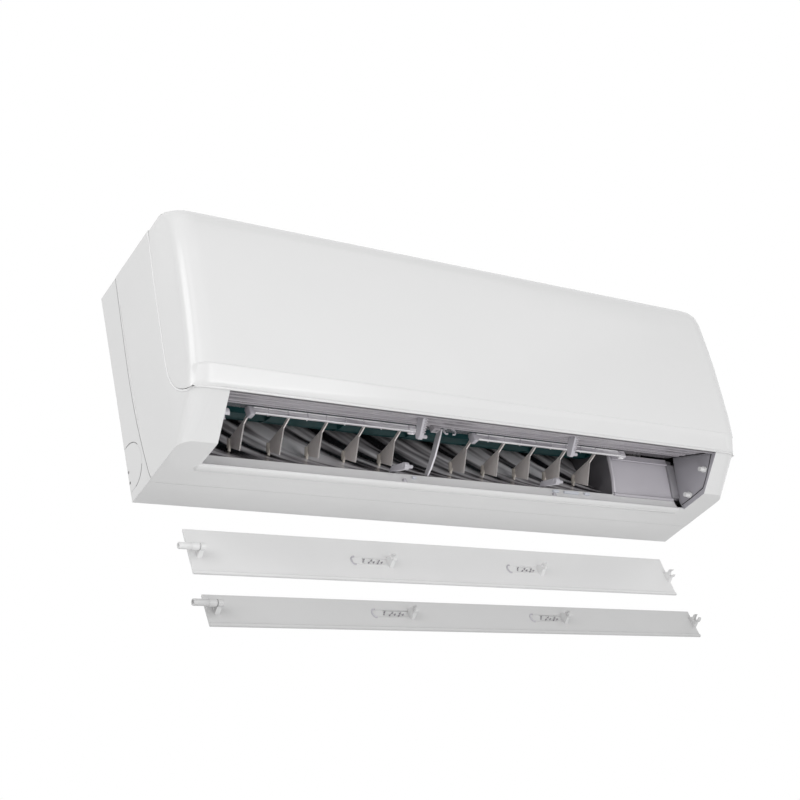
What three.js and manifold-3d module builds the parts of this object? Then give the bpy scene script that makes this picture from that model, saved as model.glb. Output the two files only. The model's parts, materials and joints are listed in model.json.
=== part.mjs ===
// Wall-hung split air conditioner, indoor unit, with its two outlet louvers taken off below it.
// Millimetres. X runs along the unit, the wall is the plane Y = 0, the front faces -Y and Z is up.
// The origin is the centre of the mounting plate's back face.
// Sections are drawn as [forward, height]: forward is the distance from the wall.
import * as THREE from "three";
import { mergeVertices } from "three/addons/utils/BufferGeometryUtils.js";
import Module from "manifold-3d";

const wasm = await Module();
wasm.setup();

// Driving dimensions of the casing
const unitWidth = 837;
const unitHeight = 280;
const unitDepth = 203.5;
const casingWall = 2.6;
const panelOverhang = 1.5;
const frameOverhang = 0.5;
const seamGap = 0.6;
const fitGap = 0.4;
const overrun = 6;
const weld = 0.5;

// Places shared by several pieces
const chassisDepth = 0.21916 * unitDepth;
const rimBack = 0.5;
const backWallFace = 8;
const backWall = 2.4;
const bottomRise = 5.1;
const panelEdgeHeight = 0.16821 * unitHeight;
const bottomTurnForward = 0.63587 * unitDepth;
const outletRearForward = 0.42752 * unitDepth;
const outletTopForward = 0.85995 * unitDepth;
const pillarLeft = 45.5;
const pillarRight = 43.5;
const cheekWall = 2.2;
const blankWidth = 125;
const panelEndSpan = 27;
const panelEndDepth = 17;
const panelTopRadius = 34;
const panelTopEdge = 5;
const seamForward = 0.63391 * unitDepth;
const seamRadius = 49.5;
const creaseHeight = 0.24536 * unitHeight;
const creaseStep = 1.3;
const lipForward = 0.83292 * unitDepth;

const bottom = -unitHeight / 2;
const top = unitHeight / 2;
const panelEnd = unitWidth / 2;
const frameEnd = panelEnd - panelOverhang;
const chassisEnd = frameEnd - frameOverhang;
const outletLeft = -panelEnd + pillarLeft;
const outletRight = panelEnd - pillarRight;
const panelEdge = bottom + panelEdgeHeight;
const frameRear = chassisDepth + fitGap;
const ductRight = outletRight - blankWidth;
const ductLength = ductRight - outletLeft;
const bottomTurn = bottom + bottomRise;
const outletTop = panelEdge - fitGap;
const bottomLine = (forward) => bottom + (bottomRise * forward) / bottomTurnForward;

// A section point from its shares of the casing's depth and height.
const levelAt = (heightShare) => bottom + heightShare * unitHeight;
const shareAt = ([depthShare, heightShare]) => [depthShare * unitDepth, levelAt(heightShare)];

// Fan, and the air duct below it
const [fanForward, fanHeight] = shareAt([0.38329, 0.46071]);
const ductWall = 2.2;
const [tongueForward, tongueHeight] = shareAt([0.47912, 0.27893]);
const [panFrontForward, panFrontHeight] = shareAt([0.81376, 0.17321]);
const scrollShares = [
  [0.3941, 0.07429],
  [0.34398, 0.10071],
  [0.27518, 0.15],
  [0.20639, 0.22143],
  [0.15725, 0.31429],
  [0.13268, 0.41071],
  [0.12776, 0.5],
  [0.14496, 0.58571],
  [0.1769, 0.64286],
];
const scroll = scrollShares.map(shareAt);
const tongueClear = 2.5;
const fanFillShare = 0.8846;
const roomBehindFan = fanForward - Math.min(...scroll.map(([forward]) => forward));
const roomBelowFan = Math.hypot(tongueForward - fanForward, fanHeight - tongueHeight) - tongueClear;
const fanRadius = fanFillShare * Math.min(roomBehindFan, roomBelowFan);
const ductRoof = (forward) => {
  const share = (forward - tongueForward) / (panFrontForward - tongueForward);
  return tongueHeight + share * (panFrontHeight - tongueHeight);
};

// Louvers: pin axes in the unit, places where they hang taken off, and blade sizes
const louverEndGap = 2.8;
const louverOffset = 10.5;
const louverThickness = 2.4;
const louverPinRadius = 2.9;
const bushRadius = 4.4;
const stubRadius = 3.2;
const swingGap = 0.35;
const clipWall = 1.9;
const armShares = [0.42536, 0.80738];
const armWidth = 6;
const upper = {
  pivot: shareAt([0.71253, 0.12286]),
  hang: shareAt([0.16757, -0.24607]),
  hangAngle: -82.3,
  lift: 90,
  width: 0.28993 * unitDepth,
  pinShare: 0.5153,
};
const lower = {
  pivot: shareAt([0.52088, 0.05714]),
  hang: shareAt([0.24521, -0.51393]),
  hangAngle: -80.2,
  lift: 82.4,
  width: 0.19853 * unitDepth,
  pinShare: 0.4455,
};

// Shapes

const round = 14;
const smallRound = 10;
const degree = Math.PI / 180;

// A closed three.js geometry as a manifold solid.
function solidOf(geometry) {
  const bare = geometry.index ? geometry.toNonIndexed() : geometry.clone();
  for (const name of Object.keys(bare.attributes)) {
    if (name !== "position") bare.deleteAttribute(name);
  }
  const merged = mergeVertices(bare, 1e-4);
  const mesh = new wasm.Mesh({
    numProp: 3,
    vertProperties: merged.attributes.position.array,
    triVerts: new Uint32Array(merged.index.array),
  });
  return new wasm.Manifold(mesh);
}

const join = (...solids) => solids.reduce((a, b) => a.add(b));
const cut = (solid, ...tools) => tools.reduce((a, b) => a.subtract(b), solid);

// A section of [forward, height] points, run along X.
function along(points, xLow, xHigh) {
  const shape = new THREE.Shape(points.map(([forward, z]) => new THREE.Vector2(forward, z)));
  const body = new THREE.ExtrudeGeometry(shape, { depth: xHigh - xLow, bevelEnabled: false });
  const place = new THREE.Matrix4().set(0, 0, -1, xHigh, -1, 0, 0, 0, 0, 1, 0, 0, 0, 0, 0, 1);
  return solidOf(body.applyMatrix4(place));
}

function block([xLow, xHigh], [backward, forward], [zLow, zHigh]) {
  const body = new THREE.BoxGeometry(xHigh - xLow, forward - backward, zHigh - zLow);
  body.translate((xLow + xHigh) / 2, -(backward + forward) / 2, (zLow + zHigh) / 2);
  return solidOf(body);
}

// A round bar from one [x, forward, height] point to another.
function bar(from, to, radius, sides = round, endRadius = radius) {
  const start = new THREE.Vector3(from[0], -from[1], from[2]);
  const end = new THREE.Vector3(to[0], -to[1], to[2]);
  const length = start.distanceTo(end);
  const body = new THREE.CylinderGeometry(endRadius, radius, length, sides);
  const up = new THREE.Vector3(0, 1, 0);
  const turn = new THREE.Quaternion().setFromUnitVectors(up, end.clone().sub(start).normalize());
  body.applyQuaternion(turn);
  body.translate((start.x + end.x) / 2, (start.y + end.y) / 2, (start.z + end.z) / 2);
  return solidOf(body);
}

const barX = ([forward, z], xLow, xHigh, radius, sides = round) =>
  bar([xLow, forward, z], [xHigh, forward, z], radius, sides);

// A stack of rings with equal counts of [x, forward, z] points, closed at both ends.
function loft(rings) {
  const count = rings[0].length;
  const points = rings.flat().flatMap(([x, forward, z]) => [x, -forward, z]);
  const faces = [];
  for (let level = 0; level + 1 < rings.length; level++) {
    for (let i = 0; i < count; i++) {
      const a = level * count + i;
      const b = level * count + ((i + 1) % count);
      faces.push(a, b, b + count, a, b + count, a + count);
    }
  }
  const lid = (rings.length - 1) * count;
  for (let i = 1; i + 1 < count; i++) {
    faces.push(0, i + 1, i);
    faces.push(lid, lid + i, lid + i + 1);
  }
  const body = new THREE.BufferGeometry();
  body.setAttribute("position", new THREE.Float32BufferAttribute(points, 3));
  body.setIndex(faces);
  return solidOf(body);
}

// Everything below a line through two section points.
function below([f1, z1], [f2, z2], xHalf) {
  const slope = (z2 - z1) / (f2 - f1);
  const far = 3 * unitDepth;
  const at = (forward) => z1 + slope * (forward - f1);
  const section = [[-far, at(-far)], [-far, at(-far) - far], [far, at(far) - far], [far, at(far)]];
  return along(section, -xHalf, xHalf);
}

// The same solid leaned over in X, in proportion to height above a level.
function leaned(solid, lean, level) {
  const matrix = new THREE.Matrix4().set(1, 0, lean, -lean * level, 0, 1, 0, 0, 0, 0, 1, 0, 0, 0, 0, 1);
  return solidOf(geometryOf(solid).applyMatrix4(matrix));
}

function geometryOf(solid) {
  const mesh = solid.getMesh();
  const count = mesh.numProp;
  const points = new Float32Array(mesh.numVert * 3);
  for (let i = 0; i < mesh.numVert; i++) {
    points.set(mesh.vertProperties.subarray(i * count, i * count + 3), i * 3);
  }
  const body = new THREE.BufferGeometry();
  body.setAttribute("position", new THREE.BufferAttribute(points, 3));
  body.setIndex(new THREE.BufferAttribute(new Uint32Array(mesh.triVerts), 1));
  body.computeVertexNormals();
  return body;
}

// A point a given way along and across a direction in the section plane.
const toward = ([forward, z], angle, distance) => [
  forward + distance * Math.cos(angle * degree),
  z + distance * Math.sin(angle * degree),
];

// A straight strip in the section plane: a line with a thickness on each side.
function strip([f1, z1], [f2, z2], back, front) {
  const length = Math.hypot(f2 - f1, z2 - z1);
  const n = [(z2 - z1) / length, -(f2 - f1) / length];
  return [
    [f1 - back * n[0], z1 - back * n[1]],
    [f1 + front * n[0], z1 + front * n[1]],
    [f2 + front * n[0], z2 + front * n[1]],
    [f2 - back * n[0], z2 - back * n[1]],
  ];
}

// A bent wall: the line through the points, thickened on its left hand side.
function wall(points, thickness) {
  const outer = points.map((p, i) => {
    const before = points[Math.max(i - 1, 0)];
    const after = points[Math.min(i + 1, points.length - 1)];
    const length = Math.hypot(after[0] - before[0], after[1] - before[1]);
    const n = [-(after[1] - before[1]) / length, (after[0] - before[0]) / length];
    return [p[0] + n[0] * thickness, p[1] + n[1] * thickness];
  });
  return [...points, ...outer.reverse()];
}

// Materials, with the photographed colours

const finish = (color, roughness, metalness = 0) =>
  new THREE.MeshStandardMaterial({ color, roughness, metalness });
const paint = {
  glossWhite: () => finish(0xe8e8e8, 0.18),
  frameWhite: () => finish(0xe2e2e2, 0.35),
  louverWhite: () => finish(0xdadada, 0.3),
  ductGrey: () => finish(0x6d6a6d, 0.3),
  plateGrey: () => finish(0x9a989e, 0.35),
  vaneGrey: () => finish(0x8d8680, 0.4),
  clearBar: () => finish(0xb4b0b6, 0.2),
  teal: () => finish(0x12494c, 0.35),
  steel: () => finish(0xa9adb0, 0.4, 0.9),
  aluminium: () => finish(0xb9c2c8, 0.45, 0.8),
  copper: () => finish(0xb46a3c, 0.35, 0.9),
  brass: () => finish(0xb89a4a, 0.35, 0.9),
  rubber: () => finish(0x1d1d1f, 0.85),
  board: () => finish(0x1f5a34, 0.6),
  dark: () => finish(0x2b2b2e, 0.5),
};

const unit = new THREE.Group();
const group = (parent = unit) => {
  const made = new THREE.Group();
  parent.add(made);
  return made;
};

function piece(name, solid, material, parent = unit) {
  const mesh = new THREE.Mesh(geometryOf(solid), material);
  mesh.name = name;
  parent.add(mesh);
  return mesh;
}

// Outline of the casing

// Front face of the panel: shares of the height and of the depth, from its lower edge upwards.
const faceShares = [
  [0.168, 0.862],
  [0.176, 0.874],
  [0.2455, 0.914],
  [0.36, 0.944],
  [0.495, 0.9655],
  [0.62, 0.984],
  [0.754, 0.9955],
  [0.8786, 1],
];
// Rear edge of the panel's sides above the round part: shares of the height and of the depth.
const seamShares = [
  [0.3571, 0.6339],
  [0.59, 0.6497],
  [0.79, 0.6663],
  [0.97, 0.6914],
  [1, 0.7],
];

function between(table, share) {
  let i = 1;
  while (i < table.length - 1 && table[i][0] < share) i++;
  const [s0, v0] = table[i - 1];
  const [s1, v1] = table[i];
  return v0 + ((v1 - v0) * (share - s0)) / (s1 - s0);
}

const heightShare = (z) => (z - bottom) / unitHeight;
const crease = bottom + creaseHeight;

// How far forward the panel's face lies at a height, less a wall.
function panelFace(z, inset = 0) {
  const turn = top - panelTopRadius;
  if (z > turn) {
    const radius = panelTopRadius - inset;
    const rise = Math.min((z - turn) / radius, 1);
    return unitDepth - panelTopRadius + radius * Math.sqrt(1 - rise * rise);
  }
  const step = z > crease ? creaseStep * Math.max(0, 1 - (z - crease) / (turn - crease)) : 0;
  return unitDepth * between(faceShares, heightShare(z)) + step - inset;
}

// How far forward the rear edge of the panel's sides lies at a height.
function panelSeam(z) {
  const arcTop = panelEdge + seamRadius;
  if (z > arcTop) return unitDepth * between(seamShares, heightShare(z));
  const drop = Math.min(arcTop - z, seamRadius);
  const arc = seamForward + seamRadius - Math.sqrt(seamRadius * seamRadius - drop * drop);
  return Math.min(arc, lipForward);
}

const cornerSteps = 6;
const cornerShare = 0.96;

// A level outline: straight back and sides, and front corners rounded by a quarter ellipse.
function outline(z, half, rear, front, span, depth) {
  const reach = Math.min(depth, (front - rear) * cornerShare);
  const first = Math.asin(1 - reach / depth);
  const corner = [];
  for (let i = 0; i <= cornerSteps; i++) {
    const angle = first + ((Math.PI / 2 - first) * i) / cornerSteps;
    corner.push([half - span * (1 - Math.cos(angle)), front - depth * (1 - Math.sin(angle)), z]);
  }
  const side = [corner[0][0], rear, z];
  const right = [...corner].reverse().concat([side]);
  const left = [side, ...corner].map(([x, forward, level]) => [-x, forward, level]);
  return [...left, ...right];
}

// Front panel: a tray that covers the front and wraps round both ends

const panelWall = 2.6;
const hingeForward = 0.71744 * unitDepth;
const hingeDrop = 7.2;
const hingeHeight = top - hingeDrop;
const hingePinRadius = 2.2;
const earRadius = 4;
const lugWidth = 6;
const earWidth = 3;
const hingeSpan = 0.71685 * unitWidth;
const hingeNotch = 4;
const levelShares = [0.176, 0.19, 0.21, 0.23, 0.27, 0.31, 0.3571, 0.495, 0.62, 0.754, 0.8786, 0.92, 0.95, 0.97, 0.985];
const panelLevels = (low, high) => {
  const fixed = [crease - 0.01, crease, crease + creaseStep];
  const steps = levelShares;
  const levels = [...fixed, ...steps.map((share) => bottom + share * unitHeight)];
  const inside = levels.filter((z) => z > low + 0.5 && z < high - 0.5);
  return [low, ...inside.sort((a, b) => a - b), high];
};

function panelBody(inset, low, high, rearReach) {
  const rings = panelLevels(low, high).map((z) => {
    const over = Math.max(z - (top - panelTopEdge), 0) / panelTopEdge;
    const edge = panelTopEdge * (1 - Math.sqrt(Math.max(1 - over * over, 0.02)));
    const half = panelEnd - inset - edge;
    const front = panelFace(z, inset);
    return outline(z, half, panelSeam(z) - rearReach, front, panelEndSpan - inset, panelEndDepth - inset);
  });
  return loft(rings);
}

const axisX = (side, offset) => (side * hingeSpan) / 2 + offset;

function hingeLug(side) {
  const centre = [hingeForward, hingeHeight];
  const from = axisX(side, -lugWidth / 2);
  const to = axisX(side, lugWidth / 2);
  const under = top - panelWall + weld;
  const web = block([from, to], [hingeForward - earRadius, hingeForward + earRadius], [hingeHeight, under]);
  const pin = barX(centre, from - earWidth - fitGap, to + earWidth + fitGap, hingePinRadius, smallRound);
  return join(web, barX(centre, from, to, earRadius), pin);
}

function hingeClearance(side) {
  const reach = lugWidth / 2 + earWidth + hingeNotch;
  const x = [axisX(side, -reach), axisX(side, reach)];
  const lug = [axisX(side, -lugWidth / 2), axisX(side, lugWidth / 2)];
  const all = block(x, [0, hingeForward + earRadius + 1], [hingeHeight - earRadius, top + overrun]);
  return cut(all, block(lug, [hingeForward - earRadius, unitDepth], [0, top + overrun]));
}

function frontPanel() {
  const outer = panelBody(0, panelEdge, top, 0);
  const inner = panelBody(panelWall, panelEdge + panelWall, top - panelWall, overrun);
  const reach = panelEnd - panelWall - seamGap;
  const behindLip = block([-reach, reach], [0, lipForward], [panelEdge - 1, panelEdge + panelWall + 0.1]);
  const tray = cut(outer, inner, behindLip, hingeClearance(-1), hingeClearance(1));
  return join(tray, hingeLug(-1), hingeLug(1));
}

// Front frame: the casing ring between chassis and panel, with the outlet and the filter guides

const barThickness = 2.5;
const barBack = 0.81671 * unitDepth;
const barFront = barBack + barThickness;
const barTop = levelAt(0.26429);
const topBarBack = 0.6629 * unitDepth;
const topBarFront = topBarBack + casingWall;
const topBarHeight = 20;
const topBarLow = top - topBarHeight;
const ringWidth = 22;
const windowDrop = 18;
const windowTop = top - windowDrop;
const windowRear = 0.51597 * unitDepth;
const bottomCorner = 16;
const flangeEnd = 9;
const grilleRear = 0.2457 * unitDepth;
const grilleFront = 0.57002 * unitDepth;
const grilleEnd = 20;
const filterThickness = 3;
const filterFoot = [0.83047 * unitDepth, barTop + fitGap];
const filterDrop = 1.6;
const filterHead = [0.61233 * unitDepth, top - filterDrop];
const filterLean = (filterFoot[0] - filterHead[0]) / (filterHead[1] - filterFoot[1]);
const filterClear = 0.4;
const railLip = 1.5;
const railWidth = 5;
const railGrip = 6;
const mullionX = 0;
const coilEndGap = 53;
const buttonInset = 30.5;
const buttonPlace = panelEnd - buttonInset;
const buttonHeight = levelAt(0.22143);
const screwXShares = [-0.36, 0.02, 0.34];
const screwHeight = levelAt(0.21429);
const screwShank = 2;
const screwHead = 4;
const screwHeadDepth = 1.8;

const filterAt = (z) => [filterFoot[0] - filterLean * (z - filterFoot[1]), z];
const filterRight = outletRight - coilEndGap;
const screwX = screwXShares.map((share) => share * unitWidth);

function frameFace(z) {
  if (z > outletTop) return panelSeam(z) - seamGap;
  const slope = (outletTopForward - bottomTurnForward) / (outletTop - bottomTurn);
  return outletTopForward + slope * (z - outletTop);
}

function frameBody(inset) {
  const low = bottom - overrun;
  const levels = [low, bottomTurn, outletTop, ...panelLevels(outletTop + 0.05, top - inset)];
  const rings = levels.map((z) => {
    const open = z <= outletTop;
    const share = Math.min(Math.max((z - bottomTurn) / (outletTop - bottomTurn), 0), 1);
    const span = open ? bottomCorner + share * (panelEndSpan - bottomCorner) : 1 + inset;
    const depth = open ? bottomCorner : 1 + inset;
    const rear = frameRear - (inset ? overrun : 0);
    return outline(z, frameEnd - inset, rear, frameFace(z) - inset, span - inset, depth - inset);
  });
  const start = [0, bottom + inset];
  const end = [bottomTurnForward, bottomTurn + inset];
  return cut(loft(rings), below(start, end, unitWidth));
}

// One side of the outlet, seen from the side.
const cheekSection = [
  [outletTopForward - casingWall, outletTop - 1],
  [bottomTurnForward - 1, bottomTurn + 0.6],
  [outletRearForward - 1, bottomLine(outletRearForward) + 0.6],
  shareAt([0.41278, 0.06786]),
  [tongueForward + 2.5, tongueHeight + 0.4],
];

const flangeWall = 2;
const flangeFoot = 3.2;
const flangeKnee = shareAt([0.40983, 0.04286]);
const flangeTip = shareAt([0.40639, 0.06929]);
const flangeSection = [
  [outletRearForward, bottomLine(outletRearForward)],
  flangeKnee,
  flangeTip,
  [flangeTip[0] - flangeWall, flangeTip[1]],
  [flangeKnee[0] - flangeWall, flangeKnee[1]],
  [outletRearForward - flangeFoot, bottomLine(outletRearForward) + casingWall],
];

// The middle of the turn that carries a taken-off louver up to its place.
function liftCentre({ pivot, hang, lift }) {
  const chord = [pivot[0] - hang[0], pivot[1] - hang[1]];
  const reach = 0.5 / Math.tan((lift * degree) / 2);
  const middle = [(pivot[0] + hang[0]) / 2, (pivot[1] + hang[1]) / 2];
  return [middle[0] - chord[1] * reach, middle[1] + chord[0] * reach];
}

// The way a louver's pin moves as it reaches its place, as an angle in the section.
function arrival(louver) {
  const centre = liftCentre(louver);
  return Math.atan2(louver.pivot[1] - centre[1], louver.pivot[0] - centre[0]) / degree + 90;
}

// A ring round a point, open on one side.
function openRing(centre, xLow, xHigh, bore, mouthAngle, thickness = clipWall) {
  const ring = cut(
    barX(centre, xLow, xHigh, bore + thickness),
    barX(centre, xLow - overrun, xHigh + overrun, bore, round),
  );
  const mouth = strip(centre, toward(centre, mouthAngle, bore + thickness + 1), bore, bore);
  return cut(ring, along(mouth, xLow - overrun, xHigh + overrun));
}

const hookWidth = 8.6;

function louverHook(louver) {
  const from = outletLeft - weld;
  const ring = openRing(louver.pivot, from, outletLeft + hookWidth, bushRadius + swingGap, arrival(louver) + 180);
  return ring;
}

// A guide strip beside a filter, with a lip behind and in front of the filter's edge.
function rail(xLow, xHigh, gripLow, gripHigh) {
  const foot = filterAt(barTop - 1);
  const head = filterAt(top - casingWall / 2);
  const reach = filterThickness / 2 + filterClear;
  const web = along(strip(foot, head, reach + railLip, reach + railLip), xLow, xHigh);
  const rear = along(strip(foot, head, reach + railLip, -reach), xLow - gripLow, xHigh + gripHigh);
  return join(web, rear);
}

function hingeEars(side) {
  const centre = [hingeForward, hingeHeight];
  const gap = lugWidth / 2 + fitGap / 2;
  const ears = [
    [axisX(side, -gap - earWidth), axisX(side, -gap)],
    [axisX(side, gap), axisX(side, gap + earWidth)],
  ];
  return ears.map(([from, to]) => {
    const neck = along(strip([topBarFront - weld, hingeHeight], centre, earRadius * 0.7, earRadius * 0.7), from, to);
    const eye = join(neck, barX(centre, from, to, earRadius));
    return cut(eye, barX(centre, from - 1, to + 1, hingePinRadius + 0.3, smallRound));
  });
}

function frontFrame() {
  const window = [-frameEnd + ringWidth, frameEnd - ringWidth];
  const shell = cut(
    frameBody(0),
    frameBody(casingWall),
    block(window, [windowRear, unitDepth], [outletTop + 0.2, windowTop]),
    block([-unitWidth, unitWidth], [topBarFront, unitDepth], [windowTop, top + overrun]),
    block([outletLeft, outletRight], [outletRearForward, unitDepth], [bottom - overrun, outletTop]),
    block([-frameEnd + grilleEnd, frameEnd - grilleEnd], [grilleRear, grilleFront], [0, top + overrun]),
  );
  const cheeks = [
    along(cheekSection, outletLeft - cheekWall, outletLeft),
    along(cheekSection, outletRight, outletRight + cheekWall),
  ];
  const flange = along(flangeSection, outletLeft - weld, outletRight - flangeEnd);
  const lowBar = block([window[0] - 3, window[1] + 3], [barBack, barFront], [outletTop + 0.2, barTop]);
  const topBar = block([-frameEnd + 1, frameEnd - 1], [topBarBack, topBarFront], [topBarLow, top - 1]);
  const rails = [
    rail(outletLeft - railWidth, outletLeft - fitGap, 0, railGrip),
    rail(mullionX - railWidth / 2, mullionX + railWidth / 2, railGrip, railGrip),
    rail(filterRight + fitGap, filterRight + railWidth, railGrip, 0),
  ];
  const whole = join(
    shell,
    ...cheeks,
    flange,
    lowBar,
    topBar,
    ...rails,
    ...hingeEars(-1),
    ...hingeEars(1),
    louverHook(upper),
    louverHook(lower),
  );
  const slotFrom = filterAt(top)[0] - filterThickness / 2 - 1.2;
  const slotTo = filterAt(top)[0] + filterThickness / 2 + 1.4;
  return cut(
    whole,
    block([outletLeft, mullionX - railWidth / 2], [slotFrom, slotTo], [top - casingWall - 1, top + overrun]),
    block([mullionX + railWidth / 2, filterRight], [slotFrom, slotTo], [top - casingWall - 1, top + overrun]),
    ...[upper, lower].map(({ pivot }) => barX(pivot, outletRight - 1, outletRight + overrun, shaftRadius + 0.3)),
    ...screwX.map((x) => bar([x, barBack - 1, screwHeight], [x, barFront + 1, screwHeight], screwShank + 0.3)),
    bar([buttonPlace, barBack - 1, buttonHeight], [buttonPlace, barFront + 1, buttonHeight], buttonStem + 0.3),
  );
}

// Louvers: blade, pins and clips, drawn about the pin axis as [along the blade, off the blade]

const lipHeight = 1;
const lipWidth = 3.4;
const clipBore = stubRadius + swingGap;
const pinBossWidth = 6;
const pinTip = 0.5;
const endClipWidth = 5;
const armPinRadius = 2.2;
const armPinReach = 7;
const midClipWidth = 5;
const pocketLength = 36;
const pocketWidth = 9;
const pocketDepth = 1;

const armX = armShares.map((share) => outletLeft + share * ductLength);

function gusset(xLow, xHigh, radius) {
  const base = -louverOffset - weld;
  return along([[-8, base], [8, base], [radius * 0.8, -radius * 0.5], [-radius * 0.8, -radius * 0.5]], xLow, xHigh);
}

// A blade's clip, open on the side that its pin comes in by.
function bladeClip(xLow, xHigh, bore, mouthAngle) {
  const radius = bore + clipWall;
  const solid = join(gusset(xLow, xHigh, radius), barX([0, 0], xLow, xHigh, radius));
  const mouth = strip([0, 0], toward([0, 0], mouthAngle, radius + 2), bore, bore);
  return cut(solid, barX([0, 0], xLow - 1, xHigh + 1, bore), along(mouth, xLow - 1, xHigh + 1));
}

function louverSolid(louver) {
  const { width, pinShare } = louver;
  const rear = -width * pinShare;
  const front = rear + width;
  const inner = -louverOffset;
  const outer = inner - louverThickness;
  const section = [
    [rear + 1.2, outer],
    [front - 0.8, outer],
    [front, outer + 0.8],
    [front, inner + lipHeight],
    [front - lipWidth, inner + lipHeight],
    [front - lipWidth - 1, inner],
    [rear, inner],
    [rear, outer + 1.2],
  ];
  const low = outletLeft + louverEndGap;
  const high = outletRight - louverEndGap - 2;
  const bossFrom = outletLeft + hookWidth + 3;
  const finalAngle = louver.hangAngle + louver.lift;
  const mouth = arrival(louver) - finalAngle;
  const pockets = armX.map((x) => {
    const end = x + armWidth / 2 + 1;
    const depth = [inner - pocketDepth, inner + 1];
    return block([end - pocketLength, end], [-pocketWidth / 2, pocketWidth / 2], depth);
  });
  return join(
    cut(along(section, low, high), ...pockets),
    gusset(bossFrom, bossFrom + pinBossWidth, bushRadius),
    barX([0, 0], bossFrom, bossFrom + pinBossWidth, bushRadius),
    barX([0, 0], outletLeft + pinTip, bossFrom + weld, louverPinRadius, round),
    bladeClip(high - endClipWidth, high, clipBore, mouth),
    ...armX.map((x) => bladeClip(x + armWidth / 2 + 1, x + armWidth / 2 + 1 + midClipWidth, armPinRadius + swingGap, mouth)),
  );
}

function bush() {
  const from = outletLeft + pinTip + 0.8;
  const to = outletLeft + hookWidth + 1.5;
  return cut(barX([0, 0], from, to, bushRadius), barX([0, 0], from - 1, to + 1, louverPinRadius + 0.2));
}

function hangLouver(prefix, louver) {
  const holder = group();
  holder.position.set(0, -louver.hang[0], louver.hang[1]);
  holder.rotation.x = -louver.hangAngle * degree;
  piece(prefix + "_louver", louverSolid(louver), paint.louverWhite(), holder);
  piece(prefix + "_louver_bush", bush(), paint.plateGrey(), holder);
}

// Drain pan: trough under the front coil, whose underside is the roof of the air duct

const panEndRight = 11.5;
const damThickness = 2;
const spoutRadius = 3.8;
const spoutBore = 2.6;

function louverArm(x, section) {
  return along(section, x - armWidth / 2, x + armWidth / 2);
}

function armPin(x, pivot) {
  return barX(pivot, x, x + armWidth / 2 + armPinReach, armPinRadius, smallRound);
}

function drainPan() {
  const panAt = (share) => tongueForward + share * (panFrontForward - tongueForward);
  const section = [
    [panFrontForward, panFrontHeight],
    [panFrontForward, barTop - 2],
    [panFrontForward - 2.4, barTop - 2],
    [panFrontForward - 2.4, panFrontHeight + 3.7],
    [panAt(0.49927), ductRoof(panAt(0.49927)) + 3.1],
    [panAt(0.46990), tongueHeight + 4.9],
    [panAt(0.43465), tongueHeight + 4.9],
    [panAt(0.45521), ductRoof(panAt(0.45521)) + 3.4],
    [tongueForward + 0.3, tongueHeight + 3.7],
    [tongueForward - 1.7, tongueHeight + 1.7],
    [tongueForward, tongueHeight],
  ];
  const [pf, pz] = upper.pivot;
  const arm = [
    [panFrontForward - 11.6, ductRoof(panFrontForward - 11.6) + 0.6],
    [pf - 3, pz + 3],
    [pf - 4, pz - 1],
    [pf - 1, pz - 4],
    [pf + 3, pz - 3],
    [panFrontForward - 0.2, panFrontHeight + 0.6],
  ];
  const dam = [section[1], section[0], section[6], section[5]];
  const ends = [outletLeft + fitGap, outletRight - panEndRight];
  const spout = [ends[1] - 12, panAt(0.45521), tongueHeight + 0.6];
  const spoutEnd = [spout[0], spout[1] - 16, spout[2]];
  return cut(
    join(
      along(section, ...ends),
      along(dam, ends[0], ends[0] + damThickness),
      along(dam, ends[1] - damThickness, ends[1]),
      bar(spout, spoutEnd, spoutRadius, smallRound),
      ...armX.map((x) => join(louverArm(x, arm), armPin(x, upper.pivot))),
    ),
    bar([spout[0], spout[1] + 3, spout[2]], [spoutEnd[0], spoutEnd[1] - 1, spoutEnd[2]], spoutBore, smallRound),
    ...screwX.map((x) => bar([x, panFrontForward - 8, screwHeight], [x, barBack + 1, screwHeight], screwShank + 0.3)),
  );
}

// Rear chassis: rim, back wall, fan scroll, end plates and motor saddles

const bearingHole = 11;
const motorHole = 15;
const motorInset = 6;
const motorRadius = fanRadius - motorInset;
const saddleLow = levelAt(0.23214);
const saddleHigh = levelAt(0.57143);
const motorFrom = 14;
const motorTo = 70;
const plateWindowLow = levelAt(0.03571);
const plateWindowHigh = levelAt(0.18571);
const hookX = 0.23895 * unitWidth;
const hookHalf = 15;
const hookDrop = 56;
const hookRise = 15;
const hookLow = top - hookDrop;
const hookHigh = hookLow + hookRise;
const knockTop = levelAt(0.24286);
const knockBottom = levelAt(0.04286);
const knockInset = 6.1;
const knockForward = chassisDepth - knockInset;
const knockMiddle = (knockTop + knockBottom) / 2;
const pipeForward = 0.65022 * chassisDepth;
const pipes = [
  { name: "gas_pipe", rise: -12, radius: 6.35 },
  { name: "liquid_pipe", rise: 6, radius: 3.2 },
].map((pipe) => ({ ...pipe, place: [pipeForward, knockMiddle + pipe.rise] }));
const coilRight = filterRight + fitGap;
const coilPlate = 1.2;
const bracketFrom = coilRight + 2;

const endPlateShares = {
  low: [[0.38084, 0.03214], [0.39115, 0.06571], [0.39312, 0.07143], [0.40983, 0.07143]],
  high: [[0.53071, 0.32143], [0.58968, 0.37857], [0.58968, 0.60714], [0.47174, 0.68571]],
};
const endPlate = [
  [backWallFace + 1, levelAt(0.66429)],
  [backWallFace + 1, bottomLine(0) + 2],
  [chassisDepth - 1, bottomLine(chassisDepth) + 2],
  [chassisDepth + 2, levelAt(0.02429)],
  ...endPlateShares.low.map(shareAt),
  [tongueForward + 1.7, tongueHeight + 1.2],
  ...endPlateShares.high.map(shareAt),
];

const tallPlateShares = [[0.57002, 0.60714], [0.54054, 0.87143], [0.29484, 0.84286]];
const tallPlate = [...endPlate.slice(1, -2), ...tallPlateShares.map(shareAt), [backWallFace + 1, levelAt(0.75714)]];

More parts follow.
